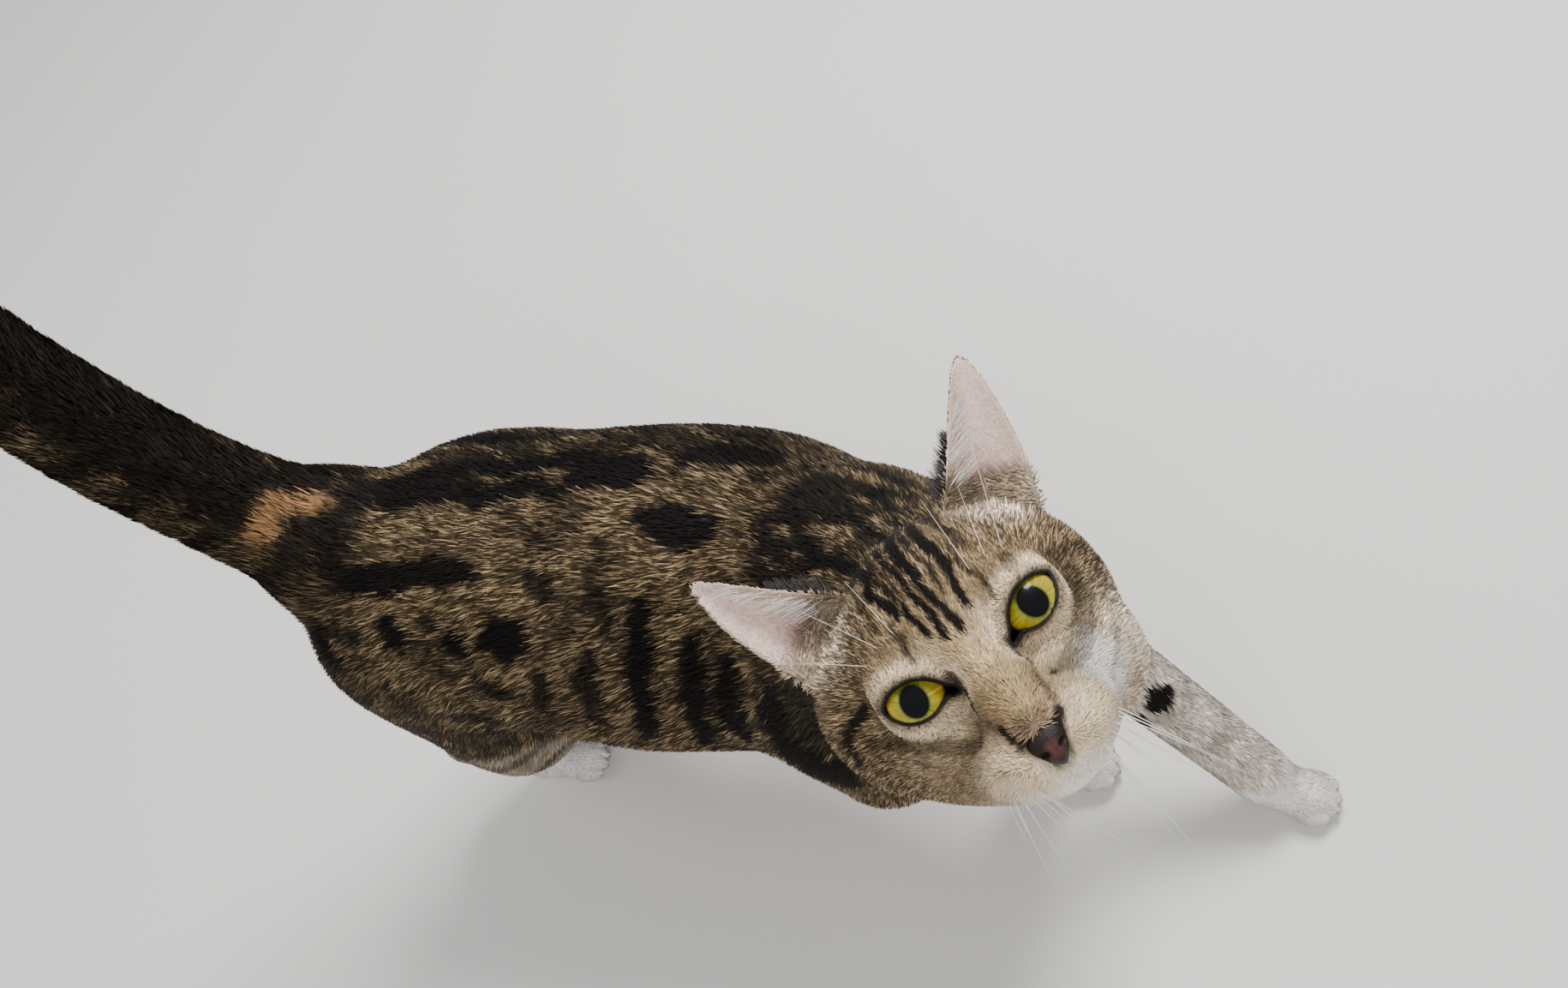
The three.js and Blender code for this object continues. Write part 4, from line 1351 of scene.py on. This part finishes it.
IRIS_ANGLE = 55                  # from the middle of the eye, degrees
PUPIL_ANGLE = 24
EYE_ANGLES = [0, 12, 20, 23, 25, 29, 35, 41, 47, 52, 56, 60, 75, 100, 140, 180]
PUPIL_COLOR = (0.003, 0.003, 0.004)
GOLD = (0.44, 0.31, 0.018)
IRIS_EDGE = (0.03, 0.022, 0.008)
EYE_WHITE = (0.025, 0.02, 0.017)
EYE_COLORS = {                   # by the angle from its middle
    0: PUPIL_COLOR, 23: PUPIL_COLOR, 25: (0.12, 0.13, 0.02), 29: (0.30, 0.29, 0.03), 41: GOLD,
    49: GOLD, 56: IRIS_EDGE, 62: IRIS_EDGE, 75: EYE_WHITE, 180: EYE_WHITE,
}
SPOKES = 96
CORNEA = 0.5                     # mm it stands out


def make_eye(side_name):
    side = SIDES[side_name]
    spokes = np.arange(SPOKES) * 2 * np.pi / SPOKES
    axes = HEAD_AXES @ eye_axes(side)
    centre = on_head(*on_side(EYE_CENTRE, side))
    points, colors = [], []
    fibres = RNG.normal(0, 1, SPOKES)
    for angle in EYE_ANGLES:
        stretch = 1 + 0.09 * np.cos(2 * spokes) * (angle < 30)                    # an oval pupil
        theta = np.radians(angle / stretch)
        bulge = EYE_RADIUS + CORNEA * math.exp(-(angle / 38) ** 2)
        across, up = np.sin(theta) * np.cos(spokes), np.sin(theta) * np.sin(spokes)
        points.append(centre + (np.stack([across, up, np.cos(theta)], 1) * bulge) @ axes.T)
        color = [np.interp(angle, list(EYE_COLORS), tones) for tones in zip(*EYE_COLORS.values())]
        uneven = 0.16 * fibres * (PUPIL_ANGLE < angle < IRIS_ANGLE)
        # painted shade: the eye is darkened towards its top, for the shadow of the upper lid
        shaded = 0.5 + 0.5 * smooth_step(0.75, 0.0, up)                           # by the upper lid
        colors.append(np.array(color) * (np.exp(uneven) * shaded)[:, None])
    faces = []
    for row in range(len(EYE_ANGLES) - 1):
        here, below = row * SPOKES, (row + 1) * SPOKES
        for i in range(SPOKES):
            j = (i + 1) % SPOKES
            faces.append((here + i, below + i, below + j, here + j)[::side])
    piece = make_mesh(f"{side_name}_eyeball", np.concatenate(points), faces)
    paint(piece, np.concatenate(colors))
    wet = toned_material(f"{side_name}_eyeball", 0.35, 0.15, 2500, 0.0, coat=0.35, specular=0.1)
    piece.data.materials.append(wet)
    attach(piece, "root")
    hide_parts(f"eye_{side_name}")


NOSE_COLOR = (0.075, 0.030, 0.026)
NOSE_CELL = 0.35
NOSE_BOX = 18                    # mm, with the nose in its middle


def make_nose():
    low = on_head(*NOSE_CENTRE) - NOSE_BOX / 2
    steps = np.arange(0, NOSE_BOX, NOSE_CELL)
    spots = box_points(steps, steps, steps)
    values = nose(low + spots).reshape((len(steps),) * 3).astype(np.float32)
    places, quads = surface(values)
    points = low + places * NOSE_CELL
    head = to_head(points) - np.array(NOSE_CENTRE)
    rim = np.linalg.norm(head[:, 1:] / np.array(NOSE_RADII)[1:], axis=1)
    rim = np.maximum(rim, 1 - smooth_step(0.5, 3.0, head[:, 0]))
    # painted shade: the nostril dents are coloured black for the shade inside the openings; the black
    # rim of the leather is its own colour
    hole = np.minimum(*[nostril(points, side) for side in SIDES.values()])
    black = np.maximum(smooth_step(0.2, 0.6, rim), 1 - smooth_step(0.9, 1.6, hole))
    piece = make_mesh("nose_leather", points, quads)
    paint(piece, mix(NOSE_COLOR, np.array(BLACK) * 1.3, black * 0.9))
    leather = toned_material("nose_leather", 0.5, 0.2, 2200, 0.5, specular=0.25)
    piece.data.materials.append(leather)
    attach(piece, "root")
    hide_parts("nose")


HAIR_COLOR = (0.80, 0.74, 0.67)
HAIR_TIP = 0.04                  # the radius every hair tapers to
HAIR_RINGS = 7
QUARTERS = np.arange(4) * np.pi / 2


def tube(points, radius):
    """A hair through points: its own points and its four-cornered faces."""
    run = np.gradient(points, axis=0)
    run /= np.linalg.norm(run, axis=1, keepdims=True)
    side = np.cross(run, (0.3, 0.2, 0.93))
    side /= np.linalg.norm(side, axis=1, keepdims=True)
    other = np.cross(run, side)
    radii = np.linspace(radius, HAIR_TIP, len(points))[:, None]
    corners = [points + radii * (side * math.cos(turn) + other * math.sin(turn)) for turn in QUARTERS]
    rings = np.stack(corners, 1).reshape(-1, 3)
    faces = [
        (4 * row + i, 4 * row + (i + 1) % 4, 4 * row + 4 + (i + 1) % 4, 4 * row + 4 + i)
        for row in range(len(points) - 1) for i in range(4)
    ]
    faces += [(3, 2, 1, 0), tuple(4 * (len(points) - 1) + i for i in range(4))]
    return rings, np.array(faces)


def hair(start, direction, length, droop):
    """Points along a hair that leaves the head this way and bends down under its own weight."""
    t = np.linspace(0, 1, HAIR_RINGS)[:, None]
    return on_head(*start) + unit(direction) * length * t + np.array([0, 0, -1.0]) * droop * t ** 2


# The directions of the first and last whisker of a row, in the cat's frame.
WHISKER_FANS = {
    "left": ((0.45, -0.42, -0.75), (0.75, -0.10, -0.6)),
    "right": ((0.42, -0.10, -0.9), (0.0, -0.20, -0.97)),
}
BROW_FANS = {
    "left": ((-0.55, 0.7, 0.45), (-0.2, 0.85, 0.5)),
    "right": ((-0.75, 0.5, 0.4), (-0.95, 0.0, 0.35)),
}
WHISKER_ROWS = [(-26, 3, 42), (-29, 4, 50), (-32, 3, 46)]        # height, number, length
WHISKER_RADIUS = 0.27
BROWS = 3
BROW_LENGTH = 34
BROW_RADIUS = 0.14


def in_fan(fan, share):
    """A direction this share of the way from a fan's first hair to its last, a little uneven."""
    first, last = np.array(fan)
    return first + (last - first) * share + RNG.normal(0, 0.05, 3)


def make_whiskers():
    hairs = []
    for side_name, side in SIDES.items():
        for height, count, length in WHISKER_ROWS:
            for share in np.linspace(0, 1, count):
                start = (21 - 10 * share, side * (11 + 6 * share), height)
                way = in_fan(WHISKER_FANS[side_name], share)
                droop = 10 * RNG.uniform(0.6, 1.2)
                path = hair(start, way, length * RNG.uniform(0.75, 1.05), droop)
                hairs.append((path, WHISKER_RADIUS))
        for share in np.linspace(0, 1, BROWS):
            start = (-8 - 4 * share, side * (14 + 10 * share), 16 - 3 * share)
            way = in_fan(BROW_FANS[side_name], share)
            hairs.append((hair(start, way, BROW_LENGTH * RNG.uniform(0.7, 1.1), 4), BROW_RADIUS))
    make_hairs("whiskers", hairs, HAIR_COLOR)


# The hairs of the ears spring from the inner edge, some over the cup and some behind it. Across is
# in half widths of the ear, out is from the middle of its shell, way is in the ear's frame and
# changes by turn up the ear, shorten is the share of the length that is lost up to its tip.
EAR_HAIRS = {
    "ear_hair": dict(
        count=110, up=(0.0, 0.72), across=(0.55, 0.95), out=0.4, way=(0.25, 0.75, 0.75),
        turn=(0, -0.4, 0), spread=0.12, length=13, shorten=0.6, radius=0.16, color=HAIR_COLOR),
    "ear_fringe": dict(
        count=260, up=(-0.05, 0.42), across=(0.75, 1.0), out=-EAR_THICKNESS / 2, way=(-0.5, -0.45, 0.8),
        turn=(0, 0, 0), spread=0.1, length=9, shorten=1.2, radius=0.22, color=(0.022, 0.017, 0.013)),
}


def make_ear_hairs():
    """The long pale hairs in each ear's cup, and the dark fringe behind its inner edge."""
    for side_name, side in SIDES.items():
        base, axes, height, half = ear_frame(side)
        for name, kind in EAR_HAIRS.items():
            hairs = []
            for share in RNG.uniform(*kind["up"], kind["count"]):
                up = height * share
                aside = ear_width(up, height, half) * RNG.uniform(*kind["across"])
                across = ear_bow(up, height) - aside
                depth, _ = ear_middle(across, up, height, half)
                start = base + axes @ np.array([depth + kind["out"], across, up])
                way = axes @ (np.array(kind["way"]) + np.array(kind["turn"]) * share)
                way = way + RNG.normal(0, kind["spread"], 3)
                length = kind["length"] * (1 - kind["shorten"] * share) * RNG.uniform(0.6, 1.1)
                hairs.append((hair(start, HEAD_AXES @ way, length, 0), kind["radius"]))
            make_hairs(f"{name}_{side_name}", hairs, kind["color"])


def make_hairs(name, hairs, color):
    """One piece of many thin tapering hairs."""
    points, faces = [], []
    total = 0
    for path, radius in hairs:
        rings, quads = tube(path, radius)
        points.append(rings)
        faces.append(quads + total)
        total += len(rings)
    piece = make_mesh(name, np.concatenate(points), np.concatenate(faces))
    paint(piece, np.tile(color, (total, 1)))
    piece.data.materials.append(toned_material(name, 0.4, 0.1, 500, 0.0))
    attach(piece, "root")


# ------------------------------------------------------------------ camera, floor and light


def make_camera():
    camera = bpy.data.objects.new("camera", bpy.data.cameras.new("camera"))
    bpy.context.collection.objects.link(camera)
    camera.data.sensor_width = SENSOR
    camera.data.lens = SENSOR * CAMERA_FOCAL
    camera.data.clip_start = 0.01
    heading, pitch = math.radians(CAMERA_HEADING), math.radians(CAMERA_PITCH)
    level = Vector((math.cos(heading), math.sin(heading), 0))
    forward = level * math.cos(pitch) + Vector((0, 0, math.sin(pitch)))
    right = forward.cross(Vector((0, 0, 1))).normalized()
    up = right.cross(forward)
    axes = Matrix((right, up, -forward)).transposed()
    axes = axes @ Matrix.Rotation(math.radians(-CAMERA_ROLL), 3, "Z")
    place = Vector((Vector(CAMERA_AT) + Vector(OFFSET)) * MM)
    camera.matrix_world = Matrix.Translation(place) @ axes.to_4x4()
    bpy.context.scene.camera = camera


LIGHTS = [                       # name, place (m), size (m), power (W)
    ("key", (0.3, 0.9, 1.6), 0.7, 42),
    ("fill", (0.9, -1.2, 1.1), 1.6, 19),
    ("rim", (-1.2, -0.3, 1.2), 1.0, 8),
]
LIT_PLACE = (0, 0, 0.15)         # what the lights point at (m)
FLOOR_SIZE = 6                   # half its width (m)
FLOOR_COLOR = (0.76, 0.74, 0.71)
SKY_COLOR = (0.93, 0.96, 1.0, 1)
SKY_STRENGTH = 0.4


def make_stage():
    corners = np.array([(-1, -1, 0), (1, -1, 0), (1, 1, 0), (-1, 1, 0)]) * FLOOR_SIZE / MM
    floor = make_mesh("floor", corners - OFFSET * [1, 1, 0], [(0, 1, 2, 3)])
    paint(floor, np.tile(FLOOR_COLOR, (4, 1)))
    floor.data.materials.append(toned_material("floor", 0.7, 0.02, 8, 0.0))
    world = bpy.data.worlds.new("world")
    bpy.context.scene.world = world
    world.use_nodes = True
    background = world.node_tree.nodes["Background"]
    background.inputs["Color"].default_value = SKY_COLOR
    background.inputs["Strength"].default_value = SKY_STRENGTH
    for name, place, size, power in LIGHTS:
        light = bpy.data.objects.new(name, bpy.data.lights.new(name, "AREA"))
        light.data.size = size
        light.data.energy = power
        light.location = place
        light.visible_glossy = name == "key"
        aim = Vector(LIT_PLACE) - Vector(place)
        light.rotation_euler = aim.to_track_quat("-Z", "Y").to_euler()
        bpy.context.collection.objects.link(light)


make_coat(*make_skin())
for side_name in SIDES:
    make_eye(side_name)
make_nose()
make_whiskers()
make_ear_hairs()
make_camera()
make_stage()
